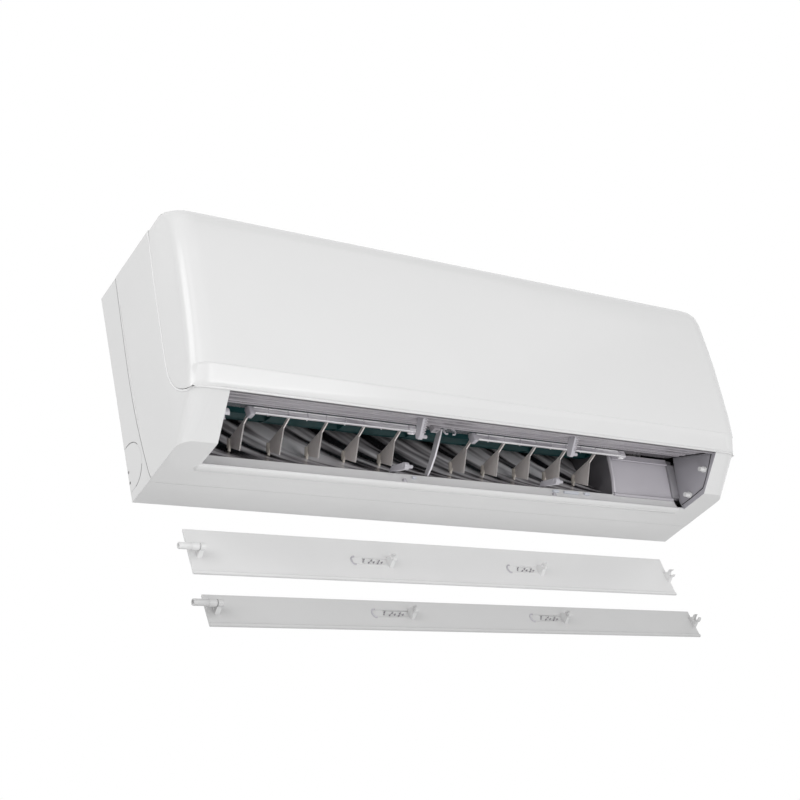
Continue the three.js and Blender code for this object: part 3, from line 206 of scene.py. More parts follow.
def linear(*levels):
    """Colour as it looks on a screen, from 0 to 255, in the renderer's own measure."""
    return tuple(((c / 255 + 0.055) / 1.055) ** 2.4 if c > 10 else c / 3294 for c in levels)


def grey(level):
    return linear(level, level, level)


def floor_finish(at):
    return {"Base Color": blend(noise(at, scale=0.7), grey(232), grey(240)), "Roughness": 0.85}


floor_width, floor_level = 16, -1.75
bpy.ops.object.select_all(action="DESELECT")
bpy.ops.mesh.primitive_plane_add(size=floor_width, location=(0, 0, floor_level))
floor = bpy.context.active_object
floor.name = "floor"
floor.data.materials.append(finish("pale_floor", floor_finish))

# --------------------------------------------------------------------------------------------------
# Mounting plate: pressed zinc-coated steel, 1.5 mm thick, screwed to the wall through eight holes.
# Its two bent-up hooks carry the whole unit.


def relief(height, strength, distance, under=None):
    """A bump of some mm, laid over another normal where one is given."""
    inputs = {"Height": height, "Strength": strength, "Distance": distance * mm}
    if under:
        inputs["Normal"] = under
    return height.node("ShaderNodeBump", {}, inputs)


def zinc(at):
    crystals = at.node("ShaderNodeTexVoronoi", {}, {"Vector": at, "Scale": 95.0}, "Color")
    tone = at.node("ShaderNodeSeparateColor", {}, {0: crystals})
    rolled = noise(stretched(at, 14.0, 900.0, 900.0), scale=1.0, detail=3.0)
    shade = tone * 0.45 + rolled * 0.4
    return {
        "Base Color": blend(shade, linear(150, 153, 156), linear(196, 199, 202)),
        "Roughness": 0.3 + tone * 0.14,
        "Normal": relief(rolled, strength=0.12, distance=0.2),
    }


zinc_steel = finish("zinc_steel", zinc, Metallic=0.95)


def skin(node, name, material, angle=32):
    """A joined copy of a CAD node, smooth over its round parts, shown in the node's place."""
    weld, flat_angle = 0.002 * mm, 0.3
    source = frame["nodes"][node]
    bpy.ops.object.select_all(action="DESELECT")
    made = bpy.data.objects.new(name, source.data.copy())
    bpy.context.scene.collection.objects.link(made)
    made.data.materials.clear()
    made.data.materials.append(material)
    made.select_set(True)
    bpy.context.view_layer.objects.active = made
    bpy.ops.mesh.customdata_custom_splitnormals_clear()
    bpy.ops.object.mode_set(mode="EDIT")
    bpy.ops.mesh.select_all(action="SELECT")
    bpy.ops.mesh.remove_doubles(threshold=weld)
    bpy.ops.mesh.dissolve_limited(angle_limit=math.radians(flat_angle))
    bpy.ops.object.mode_set(mode="OBJECT")
    bpy.ops.object.shade_smooth_by_angle(angle=math.radians(angle))
    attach(made, source["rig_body"])
    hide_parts(node)
    return made


def paint_where(piece, material, test):
    """The faces whose middle in mm and normal pass the test get another material."""
    piece.data.materials.append(material)
    index = len(piece.data.materials) - 1
    for face in piece.data.polygons:
        if test(face.center / mm, face.normal):
            face.material_index = index


def dress(node, material):
    """A CAD node whose shape is right keeps it and gets its finish."""
    mesh = frame["nodes"][node].data
    mesh.materials.clear()
    mesh.materials.append(material)


dress("mounting_plate", zinc_steel)

# --------------------------------------------------------------------------------------------------
# Rear chassis: one large moulding in white plastic with the back wall, the grey scroll behind the
# fan, the end walls of the duct and the two lower louver arms. Beads draw its lip and its seam, and
# the knock-outs close the pipe holes at both ends.


def rounded(at, radius):
    """A normal that breaks the sharp edges by some mm."""
    return at.node("ShaderNodeBevel", {"samples": 6}, {"Radius": radius * mm})


def plastic(low, high, roughness, grain=2600.0, skin_depth=0.012, edge=0.5):
    """Moulded plastic: a faint cloud in the colour, a fine skin and sharp edges broken."""

    def build(at):
        cloud = noise(at, scale=11.0, detail=3.0)
        fine = noise(at, scale=grain)
        sink = noise(at, scale=26.0, detail=1.0)
        height = fine * skin_depth + sink * 0.25
        return {
            "Base Color": blend(cloud, low, high),
            "Roughness": roughness * 0.88 + cloud * (roughness * 0.24),
            "Normal": relief(height, strength=0.25, distance=0.35, under=rounded(at, edge)),
        }

    return build


def duct_painted_streaks(at):
    """Polished grey plastic with painted shade and reflections of the vanes in streaks aslant."""
    lean, streaks_per_metre, waves_per_metre = 1.25, 38.0, 8.0
    x, z = (at.node("ShaderNodeSeparateXYZ", {}, {0: at}, axis) for axis in (0, 2))
    places = {0: (x + z * lean) * streaks_per_metre, 1: z * waves_per_metre}
    vane_shade_streaks = noise(at.node("ShaderNodeCombineXYZ", {}, places), scale=1.0, detail=1.5)
    stops = [(0.4, linear(40, 39, 41)), (0.5, linear(176, 172, 176)), (0.6, linear(254, 252, 255))]
    made = plastic(grey(0), grey(255), roughness=0.12, edge=0.4)(at)
    # Painted shade and reflections of the vanes, in dark and light streaks on the scroll.
    made["Base Color"] = vane_shade_streaks.ramp(stops)
    return made


frame_plastic = finish("frame_plastic", plastic(grey(226), grey(231), roughness=0.2))
duct_plastic = finish("duct_plastic", duct_painted_streaks, Metallic=0.1)
arm_plastic = finish(
    "arm_plastic", plastic(linear(182, 180, 186), linear(198, 196, 202), roughness=0.2, edge=0.3)
)
flange_plastic = finish(
    "flange_plastic", plastic(linear(208, 211, 219), linear(218, 221, 228), roughness=0.3, edge=0.4)
)
# Painted shade: the duct's end walls get a dark grey, as they stand in shade inside the outlet.
end_wall_painted_shade = finish(
    "end_wall_painted_shade", plastic(linear(92, 90, 94), linear(122, 120, 124), roughness=0.12, edge=0.4)
)

duct_left, duct_right = -373, 250
arm_places = {"left": -108, "right": 130}
lower_seat = (106, -124)
pin_seat_radius = 4.7
# Forward and height of points along the scroll's section.
scroll_line = [
    (80.2, -119.2), (70, -111.8), (56, -98), (42, -78), (32, -52), (27, -25), (26, 0), (29.5, 24),
    (36, 40),
]


def off_line(forward, height, line):
    """Shortest distance from a point of the section to a line of points."""
    best = math.inf
    for (f1, z1), (f2, z2) in zip(line, line[1:]):
        run, rise = f2 - f1, z2 - z1
        share = ((forward - f1) * run + (height - z1) * rise) / (run * run + rise * rise)
        share = max(0, min(1, share))
        best = min(best, math.hypot(forward - f1 - share * run, height - z1 - share * rise))
    return best


def on_scroll(at, normal):
    reach, overrun = 3, 0.8
    within = duct_left - overrun < at.x < duct_right + overrun
    return within and off_line(-at.y, at.z, scroll_line) < reach


def stands_at(at, normal, *places):
    """Whether a face stands across the unit at one of the places along it."""
    near, square_on = 0.4, 0.9
    return min(abs(at.x - place) for place in places) < near and abs(normal.x) > square_on


def on_end_wall(at, normal):
    return stands_at(at, normal, duct_left, duct_right)


def on_flange(at, normal):
    rear, front, foot, leaning_out = 80, 87.2, -136.4, -0.3
    return rear < -at.y < front and at.z > foot and normal.y < leaning_out


def on_lower_arm(place):
    """The test for the arm at one place, which starts further forward at its foot."""
    half_width, low_end = 13, -130
    foot_height, foot_start, arm_start = -118, 83, 74

    def test(at, normal):
        start = foot_start if at.z < foot_height else arm_start
        return abs(at.x - place) < half_width and at.z > low_end and -at.y > start

    return test


chassis = skin("rear_chassis", "rear_chassis_moulding", frame_plastic)
paint_where(chassis, duct_plastic, on_scroll)
paint_where(chassis, end_wall_painted_shade, on_end_wall)
paint_where(chassis, flange_plastic, on_flange)
for arm_place in arm_places.values():
    paint_where(chassis, arm_plastic, on_lower_arm(arm_place))
skin("pipe_knockout_left", "knockout_left_plug", frame_plastic)
skin("pipe_knockout_right", "knockout_right_plug", frame_plastic)


def spot(x, forward, height):
    """A place in mm as Blender has it."""
    return x * mm, -forward * mm, height * mm


def rod(name, start, end, radius, sides=20):
    """A round rod between two places."""
    first, last = (Vector((x, -forward, height)) * mm for x, forward, height in (start, end))
    bpy.ops.object.select_all(action="DESELECT")
    bpy.ops.mesh.primitive_cylinder_add(
        vertices=sides, radius=radius * mm, depth=(last - first).length, location=(first + last) / 2
    )
    made = bpy.context.active_object
    made.name = name
    made.rotation_mode = "QUATERNION"
    made.rotation_quaternion = (last - first).to_track_quat("Z", "Y")
    bpy.ops.object.transform_apply(location=True, rotation=True, scale=True)
    return made


def block(name, x, forward, height):
    """A block between two x, two forward and two height values."""
    middle = spot(*((low + high) / 2 for low, high in (x, forward, height)))
    size = [(high - low) * mm for low, high in (x, forward, height)]
    bpy.ops.object.select_all(action="DESELECT")
    bpy.ops.mesh.primitive_cube_add(size=1, location=middle, scale=size)
    made = bpy.context.active_object
    made.name = name
    bpy.ops.object.transform_apply(location=True, rotation=True, scale=True)
    return made


def pick(piece, test):
    """Edit mode on one piece, with only the faces selected whose points in mm pass the test."""
    bpy.ops.object.mode_set(mode="EDIT")
    bpy.ops.mesh.select_mode(type="FACE")
    bpy.ops.mesh.select_all(action="DESELECT")
    bpy.ops.object.mode_set(mode="OBJECT")
    mesh = piece.data
    for face in mesh.polygons:
        face.select = all(test(mesh.vertices[index].co / mm) for index in face.vertices)
    bpy.ops.object.mode_set(mode="EDIT")


def inset(thickness):
    bpy.ops.mesh.inset(thickness=thickness * mm)


def pull_out(x=0, forward=0, height=0):
    """The picked faces drawn out by some mm, with new walls behind them."""
    bpy.ops.mesh.extrude_region_move(TRANSFORM_OT_translate={"value": spot(x, forward, height)})


def move(x=0, forward=0, height=0):
    bpy.ops.transform.translate(value=spot(x, forward, height))


def squeeze(scale, centre):
    bpy.ops.transform.resize(value=scale, center_override=spot(*centre))


def wire(name, points, radius):
    """A round bead or wire laid along places, closed at both ends."""
    path = bpy.data.curves.new(name, "CURVE")
    path.dimensions = "3D"
    path.bevel_depth = radius * mm
    path.bevel_resolution = 2
    path.use_fill_caps = True
    spline = path.splines.new("POLY")
    spline.points.add(len(points) - 1)
    for point, place in zip(spline.points, points):
        point.co = (*spot(*place), 1)
    made = bpy.data.objects.new(name, path)
    bpy.context.scene.collection.objects.link(made)
    bpy.ops.object.select_all(action="DESELECT")
    made.select_set(True)
    bpy.context.view_layer.objects.active = made
    bpy.ops.object.convert(target="MESH")
    return bpy.context.active_object


def fit(piece, body, material, edge=0.3, angle=40):
    """Breaks the sharp edges, smooths the round parts, paints the piece, hangs it on its body."""
    bpy.context.view_layer.objects.active = piece
    if bpy.context.mode != "OBJECT":
        bpy.ops.object.mode_set(mode="OBJECT")
    bpy.ops.object.select_all(action="DESELECT")
    piece.select_set(True)
    if edge:
        rounding = piece.modifiers.new("edge", "BEVEL")
        rounding.width, rounding.segments, rounding.limit_method = edge * mm, 2, "ANGLE"
        bpy.ops.object.modifier_apply(modifier="edge")
    bpy.ops.object.shade_smooth_by_angle(angle=math.radians(angle))
    piece.data.materials.clear()
    piece.data.materials.append(material)
    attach(piece, body)


def copied(piece, name, x=0, forward=0, height=0):
    """Another piece of the same shape, moved by some mm."""
    made = bpy.data.objects.new(name, piece.data.copy())
    bpy.context.scene.collection.objects.link(made)
    made.data.transform(Matrix.Translation(spot(x, forward, height)))
    return made


def turns(start, step, count):
    """Cosine and sine of angles in degrees that go up by a step."""
    angles = [math.radians(start + step * i) for i in range(count + 1)]
    return [(math.cos(a), math.sin(a)) for a in angles]


def seam_finish(at):
    return {"Base Color": blend(noise(at, scale=60.0), grey(128), grey(150)), "Roughness": 0.6}


seam_shade = finish("seam_shade", seam_finish)
lip_left, lip_right, lip_forward, lip_height = -375, 366, 81, -135.6
lip_flatness, lip_end_taper = 0.48, (1, 0.55, 0.35)
lip_end_length, lip_end_rise = 5, 0.6
lip_start, lip_stop = ((x, lip_forward, lip_height) for x in (lip_left, lip_right))
lip = rod("outlet_lip_bead", lip_start, lip_stop, radius=7, sides=28)
bpy.ops.object.mode_set(mode="EDIT")
bpy.ops.mesh.select_all(action="SELECT")
squeeze((1, 1, lip_flatness), (0, lip_forward, lip_height))
pick(lip, lambda at: at.x < lip_left + 1)
pull_out(x=-lip_end_length, height=lip_end_rise)
squeeze(lip_end_taper, (0, lip_forward, lip_height + 2 * lip_end_rise))
bpy.ops.object.mode_set(mode="OBJECT")
fit(lip, "unit", frame_plastic, edge=2.4, angle=50)

half_head, head_wall, head_bore_depth = 3.4, 2.6, 2.4
head_start, head_end = ((arm_places["left"] + x, *lower_seat) for x in (-half_head, half_head))
head = rod("arm_head", head_start, head_end, pin_seat_radius, sides=24)
pick(head, lambda at: at.x < arm_places["left"] - 3)
inset(head_wall)
pull_out(x=head_bore_depth)
bpy.ops.object.mode_set(mode="OBJECT")
clip_beside_arm, half_clip, clip_taper = 10, 3, 0.5
clip_forward, clip_height = (83, 87.6), (-134, -129)
for side, arm_place in arm_places.items():
    arm_head = copied(head, "lower_arm_head_" + side, x=arm_place - arm_places["left"])
    fit(arm_head, "unit", arm_plastic, edge=0.5)
    middle = arm_place + clip_beside_arm
    clip_sides = (middle - half_clip, middle + half_clip)
    clip = block("flange_clip", clip_sides, clip_forward, clip_height)
    pick(clip, lambda at: at.z > clip_height[1] - 1)
    squeeze((clip_taper, 1, 1), (middle, clip_forward[0], clip_height[1]))
    fit(clip, "unit", arm_plastic, edge=0.8)
bpy.data.objects.remove(head)

tab_forward, tab_height = (82.4, 86.4), (-127, -123.6)
tab_sides = ((-84, -78), (141, 151), (160, 186), (196, 205))
for number, tab_x in enumerate(tab_sides, 1):
    tab = block(f"flange_tab_{number}", tab_x, tab_forward, tab_height)
    fit(tab, "unit", flange_plastic, edge=0.9)

# The seam runs down each end of the casing, with the round plug near its foot.
chassis_seam = [
    (44.2, 138.6), (41, 73.6), (38.6, 12.4), (38.8, -32.8), (40.6, -62.7), (44.8, -97.9),
    (49.5, -129.3), (52, -137),
]
seam_x, seam_radius = 416.6, 0.75
seam_edge_x, seam_edge_step, seam_edge_radius = 416.5, 1.6, 1.1
plug_centre, plug_radius = (10.5, -100), 27.9
notch_x, notch_forward, notch_heights, half_notch = (414, 416.8), (1, 4.4), (-103, -116.5), 1.5
groove_x, groove_radius, groove_steps = 416.4, 0.5, 12
groove_arcs = ((100, 38), (-22, -80))
for end, side in (("left", -1), ("right", 1)):
    seam = [(side * seam_x, f, z) for f, z in chassis_seam]
    seam_line = wire("chassis_seam_" + end, seam, seam_radius)
    fit(seam_line, "unit", seam_shade, edge=0)
    beside_seam = [(side * seam_edge_x, f + seam_edge_step, z) for f, z in chassis_seam]
    seam_edge = wire("chassis_edge_" + end, beside_seam, seam_edge_radius)
    fit(seam_edge, "unit", frame_plastic, edge=0)
    for number, (start, stop) in enumerate(groove_arcs, 1):
        arc = [
            (side * groove_x, plug_centre[0] + plug_radius * c, plug_centre[1] + plug_radius * s)
            for c, s in turns(start, (stop - start) / groove_steps, groove_steps)
        ]
        groove = wire(f"plug_groove_{end}_{number}", arc, groove_radius)
        fit(groove, "unit", seam_shade, edge=0)
    for number, height in enumerate(notch_heights, 1):
        notch_height = (height - half_notch, height + half_notch)
        notch_sides = sorted(side * x for x in notch_x)
        notch = block(f"plug_notch_{end}_{number}", notch_sides, notch_forward, notch_height)
        fit(notch, "unit", seam_shade, edge=0.5)

# --------------------------------------------------------------------------------------------------
# Coil: stacks of thin aluminium fins on copper tubes, in two slabs round the fan, with pressed
# steel end plates and the tubes' return bends at the right.


def to_and_fro(at, length):
    """0 to 1 and back, over and over, along a wire that is a length in metres."""
    return at.node("ShaderNodeMath", {"operation": "PINGPONG"}, {0: at, 1: length}) / length


def fins(at):
    x = at.node("ShaderNodeSeparateXYZ", {}, {0: at}, 0)
    half_pitch = 0.7 * mm
    # Stripes at the fin pitch, with painted shade in the gaps between the fins; they also bump it.
    fins_and_gap_shade = to_and_fro(x, half_pitch)
    dirt = noise(stretched(at, 60.0, 8.0, 8.0), scale=1.0, detail=3.0)
    shade = fins_and_gap_shade * 0.8 + dirt * 0.2
    return {
        "Base Color": blend(shade, linear(96, 104, 112), linear(196, 203, 208)),
        "Roughness": 0.34 + dirt * 0.2,
        "Normal": relief(fins_and_gap_shade, strength=0.6, distance=0.6),
    }


fin_metal = finish("fin_metal", fins, Metallic=0.85)
for node in ("front_coil", "upper_coil"):
    dress(node, fin_metal)
    dress(node + "_left_plate", zinc_steel)
    skin(node + "_right_plate", node + "_right_plate_pressing", zinc_steel)

# --------------------------------------------------------------------------------------------------
# Cross-flow fan: a dark teal plastic drum of thin blades on thin discs, with a rubber bearing at
# the left end, and a motor in a steel can on the right.


def fan_plastic(at):
    # Lighter streaks along the drum are painted highlights of its blades; the same streaks bump it.
    highlight_streak = noise(stretched(at, 7.0, 160.0, 160.0), scale=1.0, detail=4.0)
    cloud = noise(at, scale=40.0)
    shade = highlight_streak * 0.7 + cloud * 0.3
    return {
        "Base Color": blend(shade, linear(5, 38, 43), linear(22, 86, 88)),
        "Roughness": 0.36 + cloud * 0.12,
        "Normal": relief(highlight_streak, strength=0.2, distance=0.3),
    }


def rubber(at):
    speck = noise(at, scale=1400.0)
    return {
        "Base Color": blend(speck, linear(20, 20, 21), linear(38, 38, 40)),
        "Roughness": 0.7 + speck * 0.2,
        "Normal": relief(speck, strength=0.3, distance=0.1),
    }


teal = finish("fan_teal_plastic", fan_plastic)
bearing_rubber = finish("black_rubber", rubber)
dark_plastic = finish(
    "dark_plastic", plastic(linear(40, 40, 43), linear(52, 52, 55), roughness=0.4)
)
skin("cross_flow_fan", "cross_flow_fan_drum", teal)
skin("fan_bearing", "fan_bearing_ring", bearing_rubber)
skin("motor_shaft", "motor_shaft_rod", zinc_steel)
skin("fan_motor", "fan_motor_can", zinc_steel)
skin("motor_cover", "motor_cover_saddle", dark_plastic)

# --------------------------------------------------------------------------------------------------
# Drain pan: grey moulding under the front coil. Its underside is the roof of the air duct, with
# three ribs and two hooks, and carries the two toothed upper louver arms and the post's seat.

roof_plastic = finish(
    "roof_plastic", plastic(linear(166, 162, 167), linear(182, 178, 183), roughness=0.1, edge=0.4)
)
pan = skin("drain_pan", "drain_pan_moulding", roof_plastic)
roof_front, roof_rear = (165.6, -91.5), (97.5, -61.9)


def roof(forward):
    """Height of the duct's roof at a forward place."""
    slope = (roof_front[1] - roof_rear[1]) / (roof_front[0] - roof_rear[0])
    return roof_rear[1] + (forward - roof_rear[0]) * slope


def on_upper_arm(place):
    """The test for the arm at one place, which hangs below the roof."""
    half_width, below_roof = 14, 2.5
    return lambda at, normal: (
        abs(at.x - place) < half_width and at.z < roof(-at.y) - below_roof
    )


tooth_x, tooth_seat = (0.4, 4), (163.2, -93.4)
tooth_count, tooth_step = 6, -2.2
for side, arm_place in arm_places.items():
    paint_where(pan, arm_plastic, on_upper_arm(arm_place))
    tooth_start, tooth_end = ((arm_place + x, *tooth_seat) for x in tooth_x)
    first = rod("arm_tooth", tooth_start, tooth_end, radius=1.0, sides=10)
    for number in range(tooth_count):
        down = tooth_step * number
        tooth = copied(first, f"arm_tooth_{side}_{number + 1}", forward=down, height=down)
        fit(tooth, "unit", roof_plastic, edge=0.2)
    bpy.data.objects.remove(first)

rib_x, rib_forwards, rib_drop = (-371, 362), (121, 131, 150), 0.2
for number, forward in enumerate(rib_forwards, 1):
    rib_start, rib_end = ((x, forward, roof(forward) + rib_drop) for x in rib_x)
    rib = rod(f"roof_rib_{number}", rib_start, rib_end, radius=0.9, sides=12)
    fit(rib, "unit", roof_plastic, edge=0)

hook_forward, hook_drop, hook_width, hook_depth, hook_radius = 118, 4.3, 3.4, 3.8, 1.1
hook_height = roof(hook_forward) - hook_drop
# Middle of each hook and the angle that it starts at.
hook_places = ((-41, 60), (-30, -120))
for number, (middle, start) in enumerate(hook_places, 1):
    bend = [
        (middle + hook_width * c, hook_forward, hook_height + hook_depth * s)
        for c, s in turns(start, step=20, count=12)
    ]
    hook = wire(f"roof_hook_{number}", bend, hook_radius)
    fit(hook, "unit", arm_plastic, edge=0)

seat_sides, seat_rear, seat_front, seat_depth = (-66, -56), 118, 127, 5
seat_wall, seat_bore_depth = 1.6, 3
seat_heights = (roof(seat_front) - seat_depth, roof(seat_rear) + 1)
seat = block("post_seat", seat_sides, (seat_rear, seat_front), seat_heights)
pick(seat, lambda at: at.z < -78)
inset(seat_wall)
pull_out(height=seat_bore_depth)
fit(seat, "unit", roof_plastic, edge=0.6)

# --------------------------------------------------------------------------------------------------
# Vanes: ten upright grey blades on raked hubs that steer the air left and right. Each group of five
# is tied together by a clear bar. A bent post stands between the groups.


def vane_plastic(at):
    cloud = noise(at, scale=30.0, detail=3.0)
    fine = noise(at, scale=2200.0)
    return {
        "Base Color": blend(cloud, linear(232, 222, 216), linear(246, 241, 238)),
        "Roughness": 0.26 + cloud * 0.1,
        "Normal": relief(fine, strength=0.1, distance=0.1, under=rounded(at, 0.3)),
    }


def clear_plastic(at):
    stops = [
        (0.36, linear(196, 193, 200)), (0.5, linear(240, 238, 242)), (0.62, linear(254, 254, 255)),
    ]
    # The pale streaks in the colour are swirls in the clear plastic and painted glints on it.
    swirl_and_glint = noise(stretched(at, 26.0, 240.0, 240.0), scale=1.0, detail=3.0)
    return {
        "Base Color": swirl_and_glint.ramp(stops),
        "Roughness": 0.06 + swirl_and_glint * 0.1,
        "Normal": relief(swirl_and_glint, strength=0.4, distance=0.8, under=rounded(at, 0.5)),
    }


vane_grey = finish("vane_grey_plastic", vane_plastic)
# Painted shade: the blades' forward edges get a darker copy of the blade colour, against the outlet
# box's light.
vane_front_painted_shade = finish(
    "vane_front_shaded_plastic",
    plastic(linear(158, 153, 151), linear(174, 170, 168), roughness=0.2, edge=0.3),
)
post_plastic = finish(
    "post_plastic", plastic(linear(224, 222, 227), linear(238, 236, 240), roughness=0.2, edge=0.3)
)
hub_ivory = finish(
    "hub_ivory_plastic",
    plastic(linear(206, 198, 188), linear(226, 220, 210), roughness=0.3, edge=0.3),
)
clear_bar = finish("clear_bar_plastic", clear_plastic, Metallic=0.2)
# Painted glints: white wires along both edges of each clear bar.
bar_glint_paint = finish(
    "bar_glint_paint", plastic(linear(248, 247, 250), grey(255), roughness=0.08, edge=0.3)
)
hub, hub_lean, half_hub = (55, -85), (0.42, 0.9075), 3.3


def on_hub(at, normal):
    return abs((-at.y - hub[0]) * hub_lean[1] - (at.z - hub[1]) * hub_lean[0]) < half_hub


def on_front_edge(at, normal):
    leaning_out, along_the_blade, front = -0.45, 0.35, 78
    return normal.y < leaning_out and abs(normal.x) < along_the_blade and -at.y > front


# Forward and height of each part of the bar, from and to.
bar_lip = ((111.6, 114.2), (-78.6, -70.2))
bar_rib = ((110, 115.2), (-78.8, -70.4))
bar_start = ((106, 115.6), (-81.5, -70.6))
bar_stop = ((109, 116), (-80, -71))
bar_glints = (("upper", 114.2, -70.9), ("lower", 115.6, -79.0))
glint_from_left, glint_from_right, rim_radius = 6, 9, 0.75
first_rib, rib_width, rib_pitch, ribless = 24, 1.2, 26, 30
start_sides, start_lean = (-0.5, 5.5), 1.5
stop_sides, stop_wall, stop_bore_depth = (-9, 1), 1.5, 4
for side in ("left", "right"):
    for number in range(1, 6):
        vane = skin(f"vane_{side}_{number}", f"vane_{side}_{number}_blade", vane_grey)
        paint_where(vane, hub_ivory, on_hub)
        paint_where(vane, vane_front_painted_shade, on_front_edge)
    bar = f"vane_link_{side}"
    skin(bar, bar + "_bar", clear_bar)
    low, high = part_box(bar)
    left, right = low[0] / mm, high[0] / mm
    drop = block(bar + "_lip", (left, right), *bar_lip)
    pick(drop, lambda at: at.z < -78)
    pull_out(forward=1.6, height=-0.8)
    fit(drop, bar, clear_bar, edge=0.5)
    # Painted glints along the bar's upper and lower edges.
    for edge, forward, height in bar_glints:
        rim_x = (left + glint_from_left, right - glint_from_right)
        rim = wire(f"{bar}_{edge}_rim", [(x, forward, height) for x in rim_x], rim_radius)
        fit(rim, bar, bar_glint_paint, edge=0)
    rib_sides = (left + first_rib, left + first_rib + rib_width)
    first = block("bar_rib", rib_sides, *bar_rib)
    for number in range(int((right - left - ribless) / rib_pitch)):
        rib = copied(first, f"{bar}_rib_{number + 1}", x=rib_pitch * number)
        fit(rib, bar, clear_bar, edge=0.3)
    bpy.data.objects.remove(first)
    start = block(bar + "_start", [left + x for x in start_sides], *bar_start)
    pick(start, lambda at: at.z > -71)
    move(x=-start_lean)
    fit(start, bar, arm_plastic, edge=0.6)
    stop = block(bar + "_stop", [right + x for x in stop_sides], *bar_stop)
    pick(stop, lambda at: at.z < -79)
    inset(stop_wall)
    pull_out(height=stop_bore_depth)
    fit(stop, bar, clear_bar, edge=0.5)
skin("centre_post", "centre_post_rib", post_plastic)

# --------------------------------------------------------------------------------------------------
# Blank plate and end cap: they close the outlet beside the duct, in front of the fan motor. The
# plate is bent along its top, its foot and its left side.

blank_plastic = finish(
    "blank_plastic", plastic(linear(185, 182, 188), linear(199, 196, 202), roughness=0.2, edge=0.4)
)
cap_plastic = finish(
    "cap_plastic", plastic(linear(140, 138, 143), linear(156, 154, 158), roughness=0.25, edge=0.6)
)
skin("outlet_blank_plate", "outlet_blank_plate_sheet", blank_plastic)
skin("outlet_end_cap", "outlet_end_cap_block", cap_plastic)
cover_sides, cover_forward, cover_height = (361.5, 374.8), (92.4, 97.4), (-119, -72)
cover_foot_back, cover_brow_back = 9.4, 2.5
cover = block("outlet_cap_cover", cover_sides, cover_forward, cover_height)
pick(cover, lambda at: at.z < cover_height[0] + 1)
move(forward=-cover_foot_back)
pick(cover, lambda at: -at.y > cover_forward[1] - 1 and at.z > cover_height[1] - 1)
move(forward=-cover_brow_back)
fit(cover, "unit", cap_plastic, edge=1.6)
# Radius and places of each bend.
plate_bends = {
    "bend": (1.2, [(253.5, 96.6, -72.5), (361, 96.6, -72.5)]),
    "foot": (2.2, [(252, 84.6, -121), (362, 84.6, -121)]),
    "side": (3.2, [(252.4, 96, -69), (251.8, 95.4, -80), (251.6, 92, -100), (251.8, 85.6, -119)]),
}
for part, (radius, places) in plate_bends.items():
    bend = wire("blank_plate_" + part, places, radius)
    fit(bend, "unit", blank_plastic, edge=0)

# --------------------------------------------------------------------------------------------------
# Front frame: the white ring between chassis and panel, with the outlet, the guides for the filters
# and the ears of the panel's hinge. Two holes in its left cheek take the louvers' pins. Beads draw
# its edge beside the panel and its lip.

front_frame = skin("front_frame", "front_frame_moulding", frame_plastic)
cheek_left, cheek_right = -373, 375
upper_seat = (145, -105.6)
hole_depth, overrun = 21, 1
for pin_seat in (upper_seat, lower_seat):
    drill_x = (cheek_left - hole_depth, cheek_left + overrun)
    drill_start, drill_end = ((x, *pin_seat) for x in drill_x)
    drill = rod("pin_drill", drill_start, drill_end, pin_seat_radius, sides=24)
    hole = front_frame.modifiers.new("pin_hole", "BOOLEAN")
    hole.operation, hole.object = "DIFFERENCE", drill
    bpy.context.view_layer.objects.active = front_frame
    bpy.ops.object.modifier_apply(modifier="pin_hole")
    bpy.data.objects.remove(drill)


def on_cheek(at, normal):
    below = -60
    return stands_at(at, normal, cheek_left, cheek_right) and at.z < below


def on_pin_hook(at, normal):
    reach, rear, low, high = 15, 95, -130, -88
    beside = cheek_left - 0.2 < at.x < cheek_left + reach
    return beside and -at.y > rear and low < at.z < high and abs(normal.x) < 0.9


def under_lip(at, normal):
    rear, front, low, high = 157, 170, -97, -84
    between = cheek_left + 0.2 < at.x < cheek_right - 0.2
    return between and rear < -at.y < front and low < at.z < high and normal.z < -0.2


# Painted shade: the cheeks inside the outlet get a greyer copy of the frame's white.
cheek_painted_shade = finish(
    "cheek_painted_shade", plastic(linear(170, 168, 174), linear(184, 182, 188), roughness=0.2, edge=0.4)
)
# The bead beside the panel is a real edge; its colour, whiter than the frame's, is a painted
# highlight.
frame_edge_highlight = finish("frame_edge_highlight_plastic", plastic(grey(240), grey(246), roughness=0.1, edge=0.5))
paint_where(front_frame, cheek_painted_shade, on_cheek)
paint_where(front_frame, arm_plastic, on_pin_hook)
panel_seam = [
    (137, 138.8), (137.6, 122), (136.6, 113.7), (135, 94.1), (132.9, 71.1), (130, 21.7),
    (128.2, -14.5), (127, -40), (128, -53), (131.6, -64.4), (136.8, -72.8), (140.8, -77.5),
    (147.3, -83.1), (153, -87), (161.6, -91.4),
]
edge_back, edge_radius, lip_radius, outline_radius = 1.3, 1.6, 1.6, 0.6
for end, side in (("left", -1), ("right", 1)):
    edge_line = [(side * seam_x, forward - edge_back, height) for forward, height in panel_seam]
    frame_edge = wire("frame_edge_" + end, edge_line, edge_radius)
    fit(frame_edge, "unit", frame_edge_highlight, edge=0)
lip_corner = [
    (415.6, 158, -90.3), (413.6, 166, -91.6), (409, 171, -92.6), (402, 173.4, -93.4),
    (392, 174.6, -93.9), (377, 175.2, -93.9),
]
lip_line = [(-x, f, z) for x, f, z in lip_corner] + lip_corner[::-1]
frame_lip = wire("frame_lip_bead", lip_line, lip_radius)
fit(frame_lip, "unit", frame_plastic, edge=0)
paint_where(front_frame, roof_plastic, under_lip)
